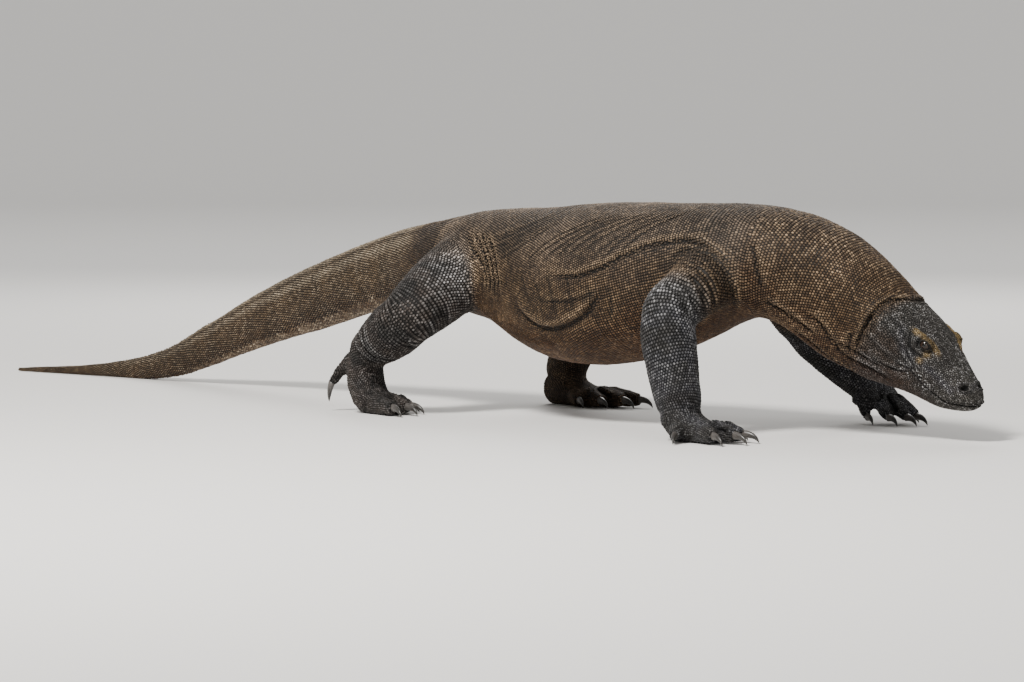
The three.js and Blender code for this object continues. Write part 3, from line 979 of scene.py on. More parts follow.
def lay_rows(run, tree, grain, rays, reach):
    """Staggered rows of places round a run. grain(far, shares) gives row gap and column gaps (m)."""
    places, lies, sizes = [], [], []
    far = 0.0
    odd = False
    shares = np.linspace(0, 1, rays)
    while far < run.far[-1]:
        row_gap, column_gap = grain(far, shares)
        halves, along = outline(run, far, tree, rays, reach)
        for hand, points in zip((1, -1), halves):
            seen = ~np.isnan(points[:, 0])
            if seen.sum() < 3:
                continue
            points, there = points[seen], shares[seen]
            steps = np.minimum(distance(points[1:], points[:-1]), LONGEST_STEP)
            gaps = np.interp((there[1:] + there[:-1]) / 2, shares, column_gap)
            count = np.concatenate([[0], np.cumsum(steps / gaps)])
            first = 0.5 if odd else (0.0 if hand > 0 else 1.0)
            marks = np.arange(first, count[-1] - 0.2, 1.0)
            if not len(marks):
                continue
            places.append(at_marks(marks, count, points))
            here = np.interp(marks, count, there)
            lies.append(np.repeat(along[None], len(marks), axis=0))
            sizes.append(np.stack([np.interp(here, shares, np.broadcast_to(row_gap, rays)),
                                   np.interp(here, shares, column_gap)], axis=1))
        far += float(np.mean(row_gap))
        odd = not odd
    return np.concatenate(places), np.concatenate(lies), np.concatenate(sizes)


def lerp_table(table, where):
    """Rows of a table (first column rising) interpolated at a value."""
    table = np.array(table, float)
    return at_marks(where, table[:, 0], table[:, 1:]).T


# Scale gaps along the body (mm): place along +X, row gap, column gap on the back, on the belly.
BODY_GRAIN = [(-1400, 3.8, 3.2, 3.2), (-1250, 4.6, 3.8, 3.8), (-900, 6.2, 4.4, 4.4), (-400, 6.2, 4.6, 5.0),
              (-100, 4.8, 4.2, 5.2), (120, 4.3, 4.1, 5.2), (400, 4.2, 4.1, 5.4), (560, 4.6, 4.6, 5.2),
              (680, 4.8, 4.9, 5.0), (800, 4.4, 4.5, 4.6), (860, 3.9, 4.0, 4.2)]
LIMB_GRAIN = {"upper_arm": (5.0, 5.3), "forearm": (5.0, 5.3), "hand": (3.8, 3.9),
              "thigh": (5.0, 5.4), "shank": (4.6, 4.8), "foot": (3.8, 3.9)}
TOE_GRAIN = (3.5, 3.3)
# Gap between the scales of the head (mm) by distance ahead of the ears.
HEAD_GRAIN = [(0, 3.8), (30, 3.6), (60, 3.4), (100, 3.3), (150, 3.2), (190, 2.9), (208, 2.7)]
WARP = 2.4                            # how far rows wander (mm)
CLEAR_OF_OTHERS = 0.62                # least room for a scale, to its smaller side
CLEAR_OF_ROW = 0.6
WARP_SEED = 5                         # rows wander the same way on every run
HEAD_FROM = 6                         # ahead of the ears (mm) the head's own scales begin


def body_grain(run):
    xs = layout_x(run.line)

    def grain(far, shares):
        row, back, belly = lerp_table(BODY_GRAIN, np.interp(far, run.far, xs))
        return row * MM, (back + (belly - back) * ramp(shares, 0.55, 0.9)) * MM
    return grain


def even_grain(row, column):
    return lambda far, shares: (row * MM, np.full(len(shares), column * MM))


def toe_lines(limb):
    """A line through each toe, from the palm to the root of its claw."""
    palm = spots(*LIMBS[limb]["palm"])
    for name in claw_nodes(limb):
        points = node_places(name)
        root = points[np.argsort(distance(points, palm[-1]))[:5]].mean(0)
        start = palm[-1] + 0.25 * (root - palm[-1])
        start[2] = max(start[2], palm[-1][2])
        if root[0] < palm[0][0]:
            start = palm[0] + 0.35 * (root - palm[0])
        middle = (start + root) / 2
        middle[2] += 0.003
        yield np.array([start, middle, root])


def tree_of(places):
    tree = KDTree(len(places))
    for i, place in enumerate(places.tolist()):
        tree.insert(place, i)
    tree.balance()
    return tree


def far_from(places, others, gaps):
    """Which places keep their gap from all the others."""
    tree = tree_of(others)
    return np.array([tree.find(p)[2] > gap for p, gap in zip(places.tolist(), gaps.tolist())])


def thinned(places, gaps):
    """Which places stay when each one clears its own gap of those after it."""
    tree = tree_of(places)
    stays = np.ones(len(places), bool)
    for i, (place, gap) in enumerate(zip(places.tolist(), gaps.tolist())):
        if stays[i]:
            for _, other, _ in tree.find_range(place, gap):
                if other > i:
                    stays[other] = False
    return stays


def plant(coat, found, kind, reach, wanted=None, still=False):
    """Roots laid places on the skin where nothing is rooted yet, their rows wandering a little."""
    places, lies, sizes = found
    if not still:
        places = places + WARP * MM * np.array([noise.noise_vector(p) for p in (places * 20).tolist()])
    ok, at, face = dropped(places, coat.tree, reach)
    if wanted is not None:
        ok &= wanted(at)
    at, face, lies, sizes = at[ok], face[ok], lies[ok], sizes[ok]
    free = far_from(at, coat.column("at"), CLEAR_OF_OTHERS * sizes.min(1))
    at, face, lies, sizes = at[free], face[free], lies[free], sizes[free]
    free = thinned(at, CLEAR_OF_ROW * sizes.min(1))
    at, face = at[free], face[free]
    coat.root(at, face, lies[free], sizes[free], kind(coat.skin, at, face) if callable(kind) else kind)


def limb_grain(run, limb):
    """Row and column gaps down a limb, from the upper bone to the hand or foot."""
    joints = spots(*LIMBS[limb]["joints"])
    marks = [float(run.far[np.argmin(distance(run.line, joint))]) for joint in joints]
    gaps = np.array([LIMB_GRAIN[bone] for bone in LIMBS[limb]["bones"]], float) * MM
    places = [0.5 * (marks[0] + marks[1]), 0.5 * (marks[1] + marks[2]), marks[2]]

    def grain(far, shares):
        row, column = at_marks(far, places, gaps)
        return row, np.full(len(shares), column)
    return grain


def pitches(skin, owner):
    """The gap between scales (m) at each vertex of the skin, for places that no row reaches."""
    row, back, _ = lerp_table(BODY_GRAIN, layout_x(skin.at))
    pitch = 0.5 * (row + back)
    for k, name in enumerate(owner):
        if name.startswith(("right_", "left_")):
            pitch[k] = sum(LIMB_GRAIN[name.split("_", 2)[2]]) / 2
    ahead = head_mm(skin.at)[:, 0]
    crown = lerp_table(HEAD_GRAIN, ahead)[0] - 0.9 * bell(from_eyes(skin) - 14, 9)
    pitch = np.where(ahead > HEAD_FROM, crown, pitch)
    return skin.eased(pitch, 0.5, 4) * MM


SPREAD_SEED = 3
SPREAD_ROUNDS = 4
NEIGHBOURS = 6


def spread(coat, pitch, wanted, spacing):
    """Scatters places over bare skin at the pitch of the vertices, and eases them apart."""
    skin = coat.skin
    corners = skin.triangles[wanted[skin.triangles].all(1)]
    corners = corners[np.random.default_rng(SPREAD_SEED).permutation(len(corners))]
    places = skin.at[corners].mean(1)
    gaps = pitch[corners].mean(1) * spacing
    free = far_from(places, coat.column("at"), gaps)
    places, gaps = places[free], gaps[free]
    free = thinned(places, gaps)
    places, gaps = places[free], gaps[free] / spacing
    face = np.zeros(len(places), int)
    fixed = coat.column("at")
    for _ in range(SPREAD_ROUNDS):
        everything = np.concatenate([places, fixed])
        near = tree_of(everything)
        found = [near.find_n(p, NEIGHBOURS + 1) for p in places.tolist()]
        index = np.array([[f[1] for f in row] for row in found])[:, 1:]
        apart = places[:, None] - everything[index]
        gap = np.linalg.norm(apart, axis=2, keepdims=True)
        push = apart / np.maximum(gap, 1e-6) * np.clip(1.05 * gaps[:, None, None] - gap, 0, None)
        _, places, face = dropped(places + 0.35 * push.sum(1), coat.tree, 1)
    free = thinned(places, 0.55 * gaps)
    return places[free], face[free], gaps[free]


KEELS_TO, PLATES_FROM, BEADS_FROM = -60, -900, 590     # along +X (mm)
PLATES_FACE = -0.72                   # a surface that faces down more than this has plates


def body_kinds(skin, at, face):
    """The kind of scale at places on the body: keeled on the tail, plates beneath, beads ahead."""
    x = layout_x(at)
    normal = skin.normal[skin.triangles[face, 0]]
    kind = np.where(x > BEADS_FROM, "bead", "grain").astype(object)
    kind[x < KEELS_TO] = "keel"
    kind[(normal[:, 2] < PLATES_FACE) & (x > PLATES_FROM)] = "plate"
    return kind


# Rows of plates along the lips: how far above the mouth line (mm), gap along the row, height.
LIP_ROWS = [(3.6, 5.2, 4.6), (-3.8, 5.0, 4.4), (8.2, 4.9, 4.2)]
CREST = {"aside": 5.0, "every": 4, "size": (10.5, 7.5), "from": -1330, "to": 20}
CREST_SHRINKS = [(-1330, 0.5), (-1000, 0.8), (-300, 1.0), (20, 0.6)]


def lip_rows(coat):
    """Plates along the upper and the lower lip of both sides."""
    for line in both_sides(MOUTH[:-1]):
        for high, gap, tall in LIP_ROWS:
            points = smooth_line(line, gap * MM) + high * MM * HEAD_AXES[:, 2]
            along = unit(np.gradient(points, axis=0))
            size = np.tile([[gap * MM, tall * MM]], (len(points), 1))
            plant(coat, (points, along, size), "plate", LIP_DROP, still=True)


def crest_rows(coat):
    """Two rows of tall keeled scales along the top of the tail."""
    spine = smooth_line(spots(*SPINE), RUN_STEP)
    x = layout_x(spine)
    spine = spine[(x > CREST["from"]) & (x < CREST["to"])]
    for hand in (1, -1):
        points = spine[::CREST["every"]] + (0, hand * CREST["aside"] * MM, 0)
        hits = [coat.tree.ray_cast((*p[:2], 1.0), (0, 0, -1)) for p in points.tolist()]
        hits = [hit for hit in hits if hit[0] is not None]
        at = np.array([h[0] for h in hits])
        face = np.array([h[2] for h in hits])
        along = unit(np.gradient(at, axis=0))
        shrink = lerp_table(CREST_SHRINKS, layout_x(at))[0]
        size = np.array(CREST["size"]) * MM * shrink[:, None]
        coat.root(at, face, along, size, "crest")


# How far a row may be from the skin it is dropped on (m).
BODY_DROP, LIMB_DROP, LIP_DROP = 0.009, 0.004, 0.012
BODY_RAYS, BODY_REACH = 40, 0.3       # rays round half a body, and the farthest they meet it (m)
LIMB_RAYS, LIMB_REACH = 28, 0.085
TOE_RAYS, TOE_REACH = 14, 0.026
HEAD_SPACING, BARE_SPACING = 0.78, 0.85      # of scattered scales, to their pitch


def plant_coat(skin, owner, masks):
    """Scales over all the skin: crest, rows of body, limbs and toes, lips, head, then what is still bare."""
    coat = Coat(skin)
    body_tree, _ = node_tree(BODY_NODES)
    crest_rows(coat)
    spine = Run(spots(*SPINE))
    found = lay_rows(spine, body_tree, body_grain(spine), BODY_RAYS, BODY_REACH)
    plant(coat, found, body_kinds, BODY_DROP, lambda at: head_mm(at)[:, 0] < HEAD_FROM)
    for limb in LIMBS:
        run = limb_run(limb)
        found = lay_rows(run, coat.tree, limb_grain(run, limb), LIMB_RAYS, LIMB_REACH)
        plant(coat, found, "bead", LIMB_DROP)
        for line in toe_lines(limb):
            found = lay_rows(Run(line), coat.tree, even_grain(*TOE_GRAIN), TOE_RAYS, TOE_REACH)
            plant(coat, found, "bead", LIMB_DROP)
    pitch = pitches(skin, owner)
    lip_rows(coat)
    ahead = head_mm(skin.at)[:, 0]
    clear = masks["bare"] < 0.5
    on_head = (ahead > HEAD_FROM - 3) & (ahead < PAST_SNOUT)
    places, face, gaps = spread(coat, pitch, on_head & clear, HEAD_SPACING)
    back = np.tile(-HEAD_AXES[:, 0], (len(places), 1))
    coat.root(places, face, back, np.stack([gaps, gaps], axis=1), "pebble")
    places, face, gaps = spread(coat, pitch, clear, BARE_SPACING)
    near = tree_of(coat.column("at"))
    lies = coat.column("lies")
    lies = np.array([lies[near.find(p)[1]] for p in places.tolist()])
    coat.root(places, face, lies, np.stack([gaps, gaps], axis=1), body_kinds(skin, places, face))
    return coat


ROOM_TAKEN = 1.08                     # a scale's size to the gap to its neighbours
LEAST_GROWTH, MOST_GROWTH = 0.7, 1.35


def fit_sizes(coat):
    """Grows or shrinks each scale to the room its neighbours leave it."""
    at, size = coat.column("at"), coat.column("size")
    tree = tree_of(at)
    found = [tree.find_n(p, NEIGHBOURS + 1) for p in at.tolist()]
    room = np.array([np.mean(sorted(f[2] for f in row)[1:]) for row in found])
    factor = np.clip(room / (ROOM_TAKEN * size.mean(1)), LEAST_GROWTH, MOST_GROWTH)
    coat.rows["size"] = [size * factor[:, None]]


# ---- Pieces of the coat ---------------------------------------------------------------------------
PATCH = 0.003                         # side of a scale's patch on the coat's map
LENGTH_OVERLAP = 1.22                 # a scale's length to its row gap, so that rows overlap
TILT = 0.10                           # rise of the free edge, radians
LOOSE_TURN = 0.1                      # how far scales turn out of line, radians
SIZES, TALLNESS = (0.88, 1.08), (0.8, 1.2)      # the range of sizes, and of heights to size
# The top and the foot of a scale on its patch of the map: a share of their size, and their place.
TOP_MAP, FOOT_MAP = (0.62, (-0.18, 0)), (0.3, (0.35, 0))


def turned(one, other, angle):
    """Two square directions, both turned by an angle in their own plane."""
    return one * np.cos(angle) + other * np.sin(angle), other * np.cos(angle) - one * np.sin(angle)


def copies(coat, chosen, kind, masks, where):
    """Many copies of one kind of scale as arrays, each with its own patch of the piece's map."""
    shape, faces = TEMPLATES[kind]
    at, normal, size, lies = (coat.column(key)[chosen] for key in ("at", "normal", "size", "lies"))
    lies = unit(-lies + (lies * normal).sum(1, keepdims=True) * normal)
    across = np.cross(normal, lies)
    draw = np.random.default_rng(len(at))
    lies, across = turned(lies, across, draw.normal(0, LOOSE_TURN, len(at))[:, None])
    lies, normal = turned(lies, normal, TILT)
    grow = draw.uniform(*SIZES, len(at))[:, None]
    length, width = size[:, :1] * LENGTH_OVERLAP * grow, size[:, 1:] * grow
    height = HEIGHTS[kind] * np.minimum(length, width) * draw.uniform(*TALLNESS, len(at))[:, None]
    places = (at[:, None] + (shape[:, 0] * length)[..., None] * lies[:, None]
              + (shape[:, 1] * width)[..., None] * across[:, None]
              + (shape[:, 2] * height)[..., None] * normal[:, None]).reshape(-1, 3)
    places = np.clip(places, BOX_LOW, BOX_HIGH)
    count = len(at)
    corners = np.concatenate(faces)
    under = np.concatenate([np.full(len(f), shape[f, 2].max() < 0) for f in faces])
    foot, top = (shape[corners, :2] * share + place for share, place in (FOOT_MAP, TOP_MAP))
    flat = np.where(under[:, None], foot, top)
    carried_masks = {key: np.repeat(value[chosen], len(shape)) for key, value in masks.items()}
    return {"places": places, "corners": (np.arange(count)[:, None] * len(shape) + corners).ravel(),
            "sides": np.tile([len(face) for face in faces], count),
            "map": (where[:, None] + flat * PATCH).reshape(-1, 2),
            "tip": np.tile(np.clip(shape[:, 2], 0, 1), count),
            "tone": np.repeat(draw.uniform(0, 1, count), len(shape)), **carried_masks}


def joined(name, parts, mask_names):
    """One piece of the coat from arrays of several kinds of scale."""
    starts = np.cumsum([0] + [len(part["places"]) for part in parts[:-1]])
    corners = np.concatenate([part["corners"] + start for part, start in zip(parts, starts)])
    whole = {key: np.concatenate([part[key] for part in parts]) for key in parts[0]}
    sides = whole["sides"]
    mesh = bpy.data.meshes.new(name)
    mesh.vertices.add(len(whole["places"]))
    mesh.vertices.foreach_set("co", whole["places"].ravel())
    mesh.loops.add(len(corners))
    mesh.loops.foreach_set("vertex_index", corners)
    mesh.polygons.add(len(sides))
    mesh.polygons.foreach_set("loop_start", np.concatenate([[0], np.cumsum(sides)[:-1]]))
    mesh.polygons.foreach_set("use_smooth", np.ones(len(sides), bool))
    mesh.update(calc_edges=True)
    mesh.validate()
    layer = mesh.uv_layers.new(name="OFBake")
    layer.uv.foreach_set("vector", whole["map"].astype(np.float32).ravel())
    set_masks(mesh, {key: whole[key] for key in mask_names})
    return new_mesh_object(name, mesh)


def set_masks(mesh, masks):
    for key, values in masks.items():
        layer = mesh.attributes.new(key, "FLOAT", "POINT")
        layer.data.foreach_set("value", values.astype(np.float32))


REGIONS = {
    "tail": ("back_skin", TAIL_NODES),
    "hips": ("back_skin", ("hips",)),
    "belly": ("flank_skin", ("belly",)),
    "chest": ("flank_skin", ("chest",)),
    "neck": ("back_skin", ("neck",)),
    "head": ("head_skin", ("head", "jaw", "eye_right", "eye_left")),
    **{limb: ("leg_skin", tuple(limb_nodes(limb))) for limb in LIMBS},
}
MOST_TRIANGLES = 165000               # in one piece


MAP_EDGE, MAP_WIDE = 0.01, 0.98       # where a piece's map begins, and how wide it is


def on_map(values):
    """Values drawn to the width of a map."""
    return MAP_EDGE + MAP_WIDE * (values - values.min()) / max(np.ptp(values), 1e-6)


def map_places(region, at):
    """Roots on an unwrap of the body's own form: along a middle line and round it."""
    line = limb_run(region) if region in LIMBS else Run(spots(*SPINE))
    tree = tree_of(line.line)
    nearest = np.array([tree.find(p)[1] for p in at.tolist()])
    frames = {i: line.at(line.far[i]) for i in set(nearest.tolist())}
    middle, along, up, side = (np.array([frames[i][k] for i in nearest.tolist()]) for k in range(4))
    away = at - middle
    far = line.far[nearest] + (away * along).sum(1)
    around = np.arctan2((away * side).sum(1), (away * up).sum(1)) / (2 * math.pi) + 0.5
    return np.stack([on_map(far), MAP_EDGE + MAP_WIDE * around], axis=1)


def build_coat(coat, skin, owner_of_face, masks):
    """The coat in pieces by region, each with its masks and its map."""
    at, face, shares, kinds = (coat.column(key) for key in ("at", "face", "shares", "kind"))
    carried_masks = {key: carried(value, skin, face, shares) for key, value in masks.items()}
    names = ("tip", "tone", *carried_masks)
    pieces = []
    owner = owner_of_face[face]
    for region, (slot, nodes) in REGIONS.items():
        chosen = np.nonzero(np.isin(owner, nodes))[0]
        where = map_places(region, at[chosen])
        triangles = sum(2 * len(TEMPLATES[kind][0]) - 4 for kind in kinds[chosen])
        parts = -(-triangles // MOST_TRIANGLES)
        order = np.argsort(where[:, 0])
        for k, share in enumerate(np.array_split(order, parts)):
            name = f"scales_{region}" + (f"_{k + 1}" if parts > 1 else "")
            spot = where[share].copy()
            spot[:, 0] = on_map(spot[:, 0])
            arrays = []
            for kind in TEMPLATES:
                own = kinds[chosen[share]] == kind
                if own.any():
                    arrays.append(copies(coat, chosen[share][own], kind, carried_masks, spot[own]))
            piece = joined(name, arrays, names)
            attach(piece, "root")
            pieces.append(piece)
    return pieces


# ---- Eyes and claws -----------------------------------------------------------------------------
def build_eyes():
    pieces = []
    for hand, side, centre in zip((-1, 1), ("right", "left"), eye_places()):
        out = eye_axes(hand)[2]
        bm = bmesh.new()
        bmesh.ops.create_uvsphere(bm, u_segments=48, v_segments=32, radius=EYE_RADIUS * MM)
        turn = Vector(out).to_track_quat("Z", "Y").to_matrix().to_4x4()
        bmesh.ops.transform(bm, matrix=Matrix.Translation(centre) @ turn, verts=bm.verts)
        piece = new_object(f"eyeball_{side}", bm)
        places = np.array([v.co for v in piece.data.vertices])
        away = unit(places - centre) @ out
        set_masks(piece.data, {"gaze": np.degrees(np.arccos(np.clip(away, -1, 1)))})
        piece.data.shade_smooth()
        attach(piece, "root")
        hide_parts(f"eye_{side}")
        pieces.append(piece)
    return pieces


CLAW_SIDES = 12
CLAW_RINGS = 12
CLAW_WIDE, CLAW_TALL = (0.0050, 0.0003), (0.0066, 0.0004)      # half sizes at the root, and the least (m)
TRAILING_CLAW = "right_hind_claw_5"   # hangs behind the lifted heel


def claw_bend(node):
    """The four points that bend a claw from its root in the toe to its tip, and the way its back faces."""
    points = node_places(node)
    if node == TRAILING_CLAW:
        root = points[points[:, 2] > points[:, 2].max() - 0.006].mean(0)
        tip = points[np.argmin(points[:, 2])]
        back = np.array([-1.0, 0, 0])
        knots = ((0.35, 0.004), (0.75, 0.004))
    else:
        palm = spots(*LIMBS[node.rsplit("_claw_", 1)[0]]["palm"])
        far = distance(points[:, :2], palm[1, :2])
        root = points[far < far.min() + 0.004].mean(0)
        tip = points[np.argmax(far)]
        back = np.array([0, 0, 1.0])
        knots = ((0.42, 0.0060), (0.86, 0.0085))
    return [root, *[root + share * (tip - root) + rise * back for share, rise in knots], tip], back


def bezier(points, t):
    last = len(points) - 1
    return sum(math.comb(last, i) * (1 - t) ** (last - i) * t ** i * p for i, p in enumerate(points))


def build_claw(node):
    """A curved, narrow claw."""
    bend, back = claw_bend(node)
    bm = bmesh.new()
    last = None
    for k in range(CLAW_RINGS + 1):
        t = k / CLAW_RINGS
        place = bezier(bend, t)
        along = unit(bezier(np.diff(bend, axis=0), t))
        side = unit(np.cross(along, back))
        top = np.cross(side, along)
        thin = (1 - t) ** 0.75 * (1 + 0.25 * t)        # the claw narrows to its tip
        wide, tall = (max(size * thin, least) for size, least in (CLAW_WIDE, CLAW_TALL))
        ring_verts = [bm.verts.new(place + wide * math.cos(a) * side + tall * math.sin(a) * top)
                      for a in np.linspace(0, 2 * math.pi, CLAW_SIDES, endpoint=False)]
        edges = [bm.edges.new((p, q)) for p, q in zip(ring_verts, ring_verts[1:] + ring_verts[:1])]
        if last is None:
            bm.faces.new(ring_verts)
        else:
            bmesh.ops.bridge_loops(bm, edges=last + edges)
        last = edges
    bm.faces.new(ring_verts)
    bmesh.ops.recalc_face_normals(bm, faces=bm.faces)
    share = np.clip(distance(places_in(bm), bend[0]) / distance(bend[-1], bend[0]), 0, 1)
    for vert in bm.verts:
        vert.co = np.clip(vert.co, BOX_LOW, BOX_HIGH)
    piece = new_object(f"{node}_horn", bm)
    set_masks(piece.data, {"reach": share})
    piece.data.shade_smooth()
    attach(piece, "root")
    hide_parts(node)
    return piece


MOST_SKIN = 190000                    # triangles
SKIN_TONE = 0.4                       # the bare skin's own place between the dark and the light scales


def add_skin(bm, skin, masks):
    """The skin as a piece, with fewer triangles where it is plain."""
    rough = new_object("fine skin", bm)
    lighten = rough.modifiers.new("lighten", "DECIMATE")
    lighten.ratio = MOST_SKIN / len(skin.triangles)
    mesh = evaluated_mesh(rough)
    piece = new_mesh_object("skin", mesh)
    tree = tree_of(skin.at)
    near = [tree.find(v.co)[1] for v in mesh.vertices]
    set_masks(mesh, {key: value[near] for key, value in masks.items()})
    mesh.shade_smooth()
    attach(piece, "root")
    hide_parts(*[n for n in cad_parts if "claw" not in n and "eye" not in n])
    return piece


# ---- Materials -------------------------------------------------------------------------------------
def srgb(code):
    """A colour such as '8a7f72' as linear values."""
    parts = [int(code[i:i + 2], 16) / 255 for i in (0, 2, 4)]
    return (*[p / 12.92 if p < 0.04045 else ((p + 0.055) / 1.055) ** 2.4 for p in parts], 1.0)


# 'pale', 'pale brown' and 'tail pale' colour the scales' paler tips, partly as painted highlight, and the
# painted highlight on the folds' lips and the tail's upper sides
PAINT = {
    "back": "4b4138", "back dark": "38312b", "flank": "42311e", "flank dark": "2d1f12", "belly": "3f230a",
    "neck": "382612", "throat": "361f0b", "tail": "624e37", "tail pale": "a89a85", "pale brown": "8f7a61",
    "leg": "212229", "leg dark": "161310", "hind": "312416", "pale": "919090", "ochre": "957a45",
    "face": "241e17", "face dark": "16120e", "crown": "35322d", "cheek": "2f1f0e", "band": "2f2e36",
    "claw root": "4b4744", "claw tip": "161412", "claw streak": "7c7975",
    "pupil": "050404", "iris dark": "120b07", "iris": "2c1b0f", "eye rim": "0c0806",
}


def paint(name):
    return srgb(PAINT[name])


class Nodes:
    """Short calls to lay nodes in a tree and join them."""

    def __init__(self, tree):
        self.tree = tree

    def add(self, kind, **settings):
        node = self.tree.nodes.new(kind)
        for key, value in settings.items():
            setattr(node, key, value)
        return node

    def put(self, socket, value):
        if isinstance(value, bpy.types.NodeSocket):
            self.tree.links.new(value, socket)
        else:
            socket.default_value = value

    def mask(self, name):
        return self.add("ShaderNodeAttribute", attribute_name=name).outputs["Fac"]

    def maths(self, operation, a, b=0.0, clamp=False):
        node = self.add("ShaderNodeMath", operation=operation, use_clamp=clamp)
        self.put(node.inputs[0], a)
        self.put(node.inputs[1], b)
        return node.outputs[0]

    def times(self, a, b, clamp=False):
        return self.maths("MULTIPLY", a, b, clamp)

    def plus(self, a, b):
        return self.maths("ADD", a, b)

    def part(self, name, share):
        """A share of a mask."""
        return self.times(self.mask(name), share)

    def place(self):
        return self.add("ShaderNodeTexCoord").outputs["Object"]

    def mix(self, factor, a, b, blend="MIX"):
        node = self.add("ShaderNodeMix", data_type="RGBA", blend_type=blend)
        self.put(node.inputs[0], factor)
        self.put(node.inputs[6], a)
        self.put(node.inputs[7], b)
        return node.outputs[2]

    def noise(self, place, scale, detail=3.0, rough=0.55):
        node = self.add("ShaderNodeTexNoise")
        self.put(node.inputs["Vector"], place)
        node.inputs["Scale"].default_value = scale
        node.inputs["Detail"].default_value = detail
        node.inputs["Roughness"].default_value = rough
        return node.outputs["Fac"]

    def ramped(self, value, low, high):
        node = self.add("ShaderNodeMapRange", interpolation_type="SMOOTHSTEP")
        self.put(node.inputs["Value"], value)
        node.inputs["From Min"].default_value = low
        node.inputs["From Max"].default_value = high
        return node.outputs["Result"]


def ground_color(n, place, broad, patchy):
    """The colour of each part of the animal before the scales' paler tips, their random tone, and the
    painted highlight and painted shade of the scales and folds.
    """
    height = n.add("ShaderNodeSeparateXYZ")
    n.put(height.inputs[0], place)
    high = n.ramped(n.plus(height.outputs["Z"], n.times(broad, 0.03)), 0.22, 0.34)
    color = n.mix(high, n.mix(patchy, paint("flank dark"), paint("flank")),
                  n.mix(broad, paint("back dark"), paint("back")))
    tail = n.mix(n.times(patchy, 0.5), paint("tail"), paint("flank dark"))
    color = n.mix(n.part("tail", 0.85), color, tail)
    neck = n.times(n.mask("neck"), n.maths("SUBTRACT", 0.9, n.times(high, 0.45)))
    color = n.mix(neck, color, paint("neck"))
    color = n.mix(n.part("under", 0.75), color, paint("belly"))
    leg = n.mix(n.part("hind", 0.75), paint("leg"), paint("hind"))
    color = n.mix(n.mask("leg"), color, n.mix(patchy, paint("leg dark"), leg))
    face = n.mix(patchy, paint("face dark"), paint("face"))
    face = n.mix(n.part("cheek", 0.8), face, paint("cheek"))
    face = n.mix(n.times(n.mask("crown"), 0.8, True), face, paint("crown"))
    color = n.mix(n.mask("face"), color, face)
    for name, share in (("band", 0.6), ("throat", 0.85), ("ochre", 0.9)):
        color = n.mix(n.part(name, share), color, paint(name))
    return color


def pale_and_highlighted_tips(n, color, tone, tip, patchy):
    """Paler tips of the scales, partly their own paler tops and partly painted highlight, more so on the
    folds' upper lips and the tail's upper sides where a painted highlight is laid, on pale beads and on the
    mottled face.
    """
    grey = n.maths("MAXIMUM", n.mask("leg"), n.mask("face"))
    pale = n.mix(grey, n.mix(n.mask("tail"), paint("pale brown"), paint("tail pale")), paint("pale"))
    # painted highlight on the upper lips of folds and on the tail's upper sides, with the pale corner behind
    # each eye
    highlight_and_pale = n.maths("MAXIMUM", n.part("lip", 0.5), n.part("pale", 0.8))
    color = n.mix(n.times(highlight_and_pale, n.plus(0.4, n.times(tip, 0.6))), color, pale)
    # how much paler the tips are: partly the scales' own paler tops, partly painted highlight
    tips = 0.14
    for name, gain in (("bright", 0.6), ("leg", 0.06), ("hind", -0.06), ("neck", 0.14), ("tail", 0.2)):
        tips = n.plus(tips, n.part(name, gain))
    tips = n.times(tips, n.plus(0.45, n.times(n.maths("POWER", tone, 2.0), 1.2)))
    tips = n.times(tips, n.plus(0.6, n.times(patchy, 0.8)))
    mottled = n.plus(n.plus(n.part("face", 0.06), n.part("crown", 0.6)), n.part("lips", 0.7))
    mottled = n.times(mottled, n.times(n.ramped(tone, 0.45, 1.0), patchy))
    return n.mix(n.times(n.plus(tips, mottled), tip, True), color, pale)


def hide_paint_group():
    """The animal's markings with painted shade and painted highlight: one colour for the skin and the
    scales, from masks and noise.
    """
    group = bpy.data.node_groups.new("hide paint", "ShaderNodeTree")
    group.interface.new_socket("Color", in_out="OUTPUT", socket_type="NodeSocketColor")
    group.interface.new_socket("Roughness", in_out="OUTPUT", socket_type="NodeSocketFloat")
    n = Nodes(group)
    place = n.place()
    broad = n.ramped(n.noise(place, 7.0), 0.35, 0.68)
    patchy = n.ramped(n.noise(place, 26.0, 4.0), 0.36, 0.66)
    fine = n.ramped(n.noise(place, 150.0, 2.0), 0.36, 0.64)
    tone = n.mask("tone")
    tip = n.ramped(n.mask("tip"), 0.15, 1.0)
    color = pale_and_highlighted_tips(n, ground_color(n, place, broad, patchy), tone, tip, patchy)
    # darker toward each scale's foot and on the bare skin between, lightest at its top: painted shade in the
    # gaps and painted highlight on the tops
    shade = n.plus(0.18, n.times(tip, 1.02))
    # then random tone and noise, painted shade in the creases, and the dark mask: painted shade in pits,
    # grooves and round the lids, with the tail's darker lines
    factors = ((tone, 0.66, 0.62), (fine, 0.7, 0.55), (n.mask("crease"), 1.0, -0.74), (broad, 0.75, 0.38),
               (n.mask("dark"), 1.0, -0.88))
    for value, base, gain in factors:
        shade = n.times(shade, n.plus(base, n.times(value, gain)))
    out = n.add("NodeGroupOutput")
    n.put(out.inputs["Color"], n.mix(1.0, color, shade, "MULTIPLY"))
    n.put(out.inputs["Roughness"], n.plus(0.48, n.times(n.noise(place, 60.0), 0.3)))
    return group


def new_material(name):
    material = bpy.data.materials.new(name)
    material.use_nodes = True
    return material, Nodes(material.node_tree), material.node_tree.nodes["Principled BSDF"]


COAT_GRAIN, SKIN_GRAIN = (500.0, 0.25), (900.0, 0.5)     # how fine the hide's grain is, and how strong


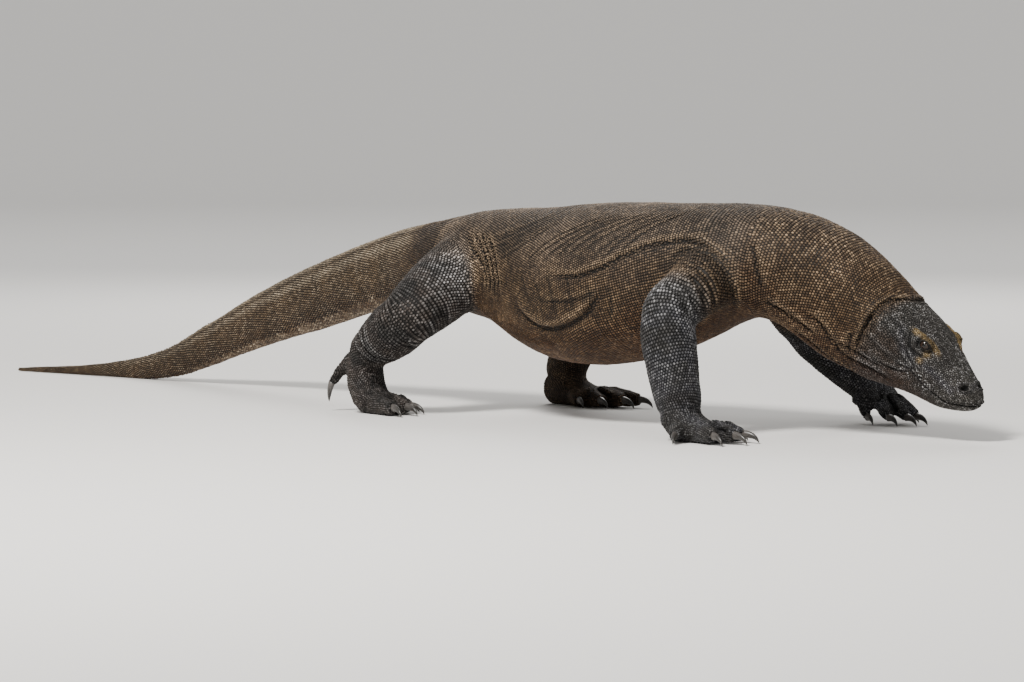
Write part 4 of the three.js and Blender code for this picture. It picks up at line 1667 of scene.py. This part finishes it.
def hide_material(name, group, grain, strength):
    """The hide's paint with a fine grain."""
    material, n, shader = new_material(name)
    painted = n.add("ShaderNodeGroup", node_tree=group)
    n.put(shader.inputs["Base Color"], painted.outputs["Color"])
    n.put(shader.inputs["Roughness"], painted.outputs["Roughness"])
    bump = n.add("ShaderNodeBump")
    bump.inputs["Strength"].default_value = strength
    bump.inputs["Distance"].default_value = 0.0006
    n.put(bump.inputs["Height"], n.noise(n.place(), grain, 3.0))
    n.put(shader.inputs["Normal"], bump.outputs["Normal"])
    shader.inputs["Specular IOR Level"].default_value = 0.22
    return material


def horn_material():
    material, n, shader = new_material("claw horn")
    streaks = n.ramped(n.noise(n.place(), 420.0, 2.0), 0.4, 0.8)
    color = n.mix(n.ramped(n.mask("reach"), 0.0, 0.75), paint("claw root"), paint("claw tip"))
    color = n.mix(n.times(streaks, 0.3), color, paint("claw streak"))
    n.put(shader.inputs["Base Color"], color)
    shader.inputs["Roughness"].default_value = 0.34
    return material


def eye_material():
    """A brown iris round a pupil, by degrees from the line of sight."""
    material, n, shader = new_material("eye")
    gaze = n.mask("gaze")
    iris = n.mix(n.noise(n.place(), 900.0, 2.0), paint("iris dark"), paint("iris"))
    color = n.mix(n.ramped(gaze, 15, 18), paint("pupil"), iris)
    color = n.mix(n.ramped(gaze, 34, 40), color, paint("eye rim"))
    n.put(shader.inputs["Base Color"], color)
    shader.inputs["Roughness"].default_value = 0.12
    shader.inputs["Specular IOR Level"].default_value = 0.25
    shader.inputs["Coat Weight"].default_value = 0.3
    shader.inputs["Coat Roughness"].default_value = 0.03
    return material


# ---- Making it all -----------------------------------------------------------------------------------
def dress(pieces, material):
    for piece in pieces:
        piece.data.materials.append(material)


def main():
    noise.seed_set(WARP_SEED)
    set_camera()
    set_light()
    set_floor()
    bm, skin = smooth_skin()
    owner, _ = nearest_nodes(skin.at, *node_tree(FLESH))
    ends = np.array([name.endswith(("tip", "hand", "foot")) for name in owner], float)
    masks = sculpt(bm, skin, 1 - skin.eased(ends, BORDER_EASE, 12))
    set_in(bm, skin, pitches(skin, owner))
    add_region_masks(skin, masks, owner)
    coat = plant_coat(skin, owner, masks)
    fit_sizes(coat)
    del masks["bare"]
    scales = build_coat(coat, skin, np.array(owner, dtype=object)[skin.triangles[:, 0]], masks)
    count = len(skin.at)
    # the bare skin has no tip, so it is painted darkest: painted shade between the scales
    whole = add_skin(bm, skin, {**masks, "tip": np.zeros(count), "tone": np.full(count, SKIN_TONE)})
    eyes = build_eyes()
    claws = [build_claw(node) for limb in LIMBS for node in claw_nodes(limb)]
    group = hide_paint_group()
    dress(scales, hide_material("scaly hide", group, *COAT_GRAIN))
    dress([whole], hide_material("bare hide", group, *SKIN_GRAIN))
    dress(eyes, eye_material())
    dress(claws, horn_material())


main()
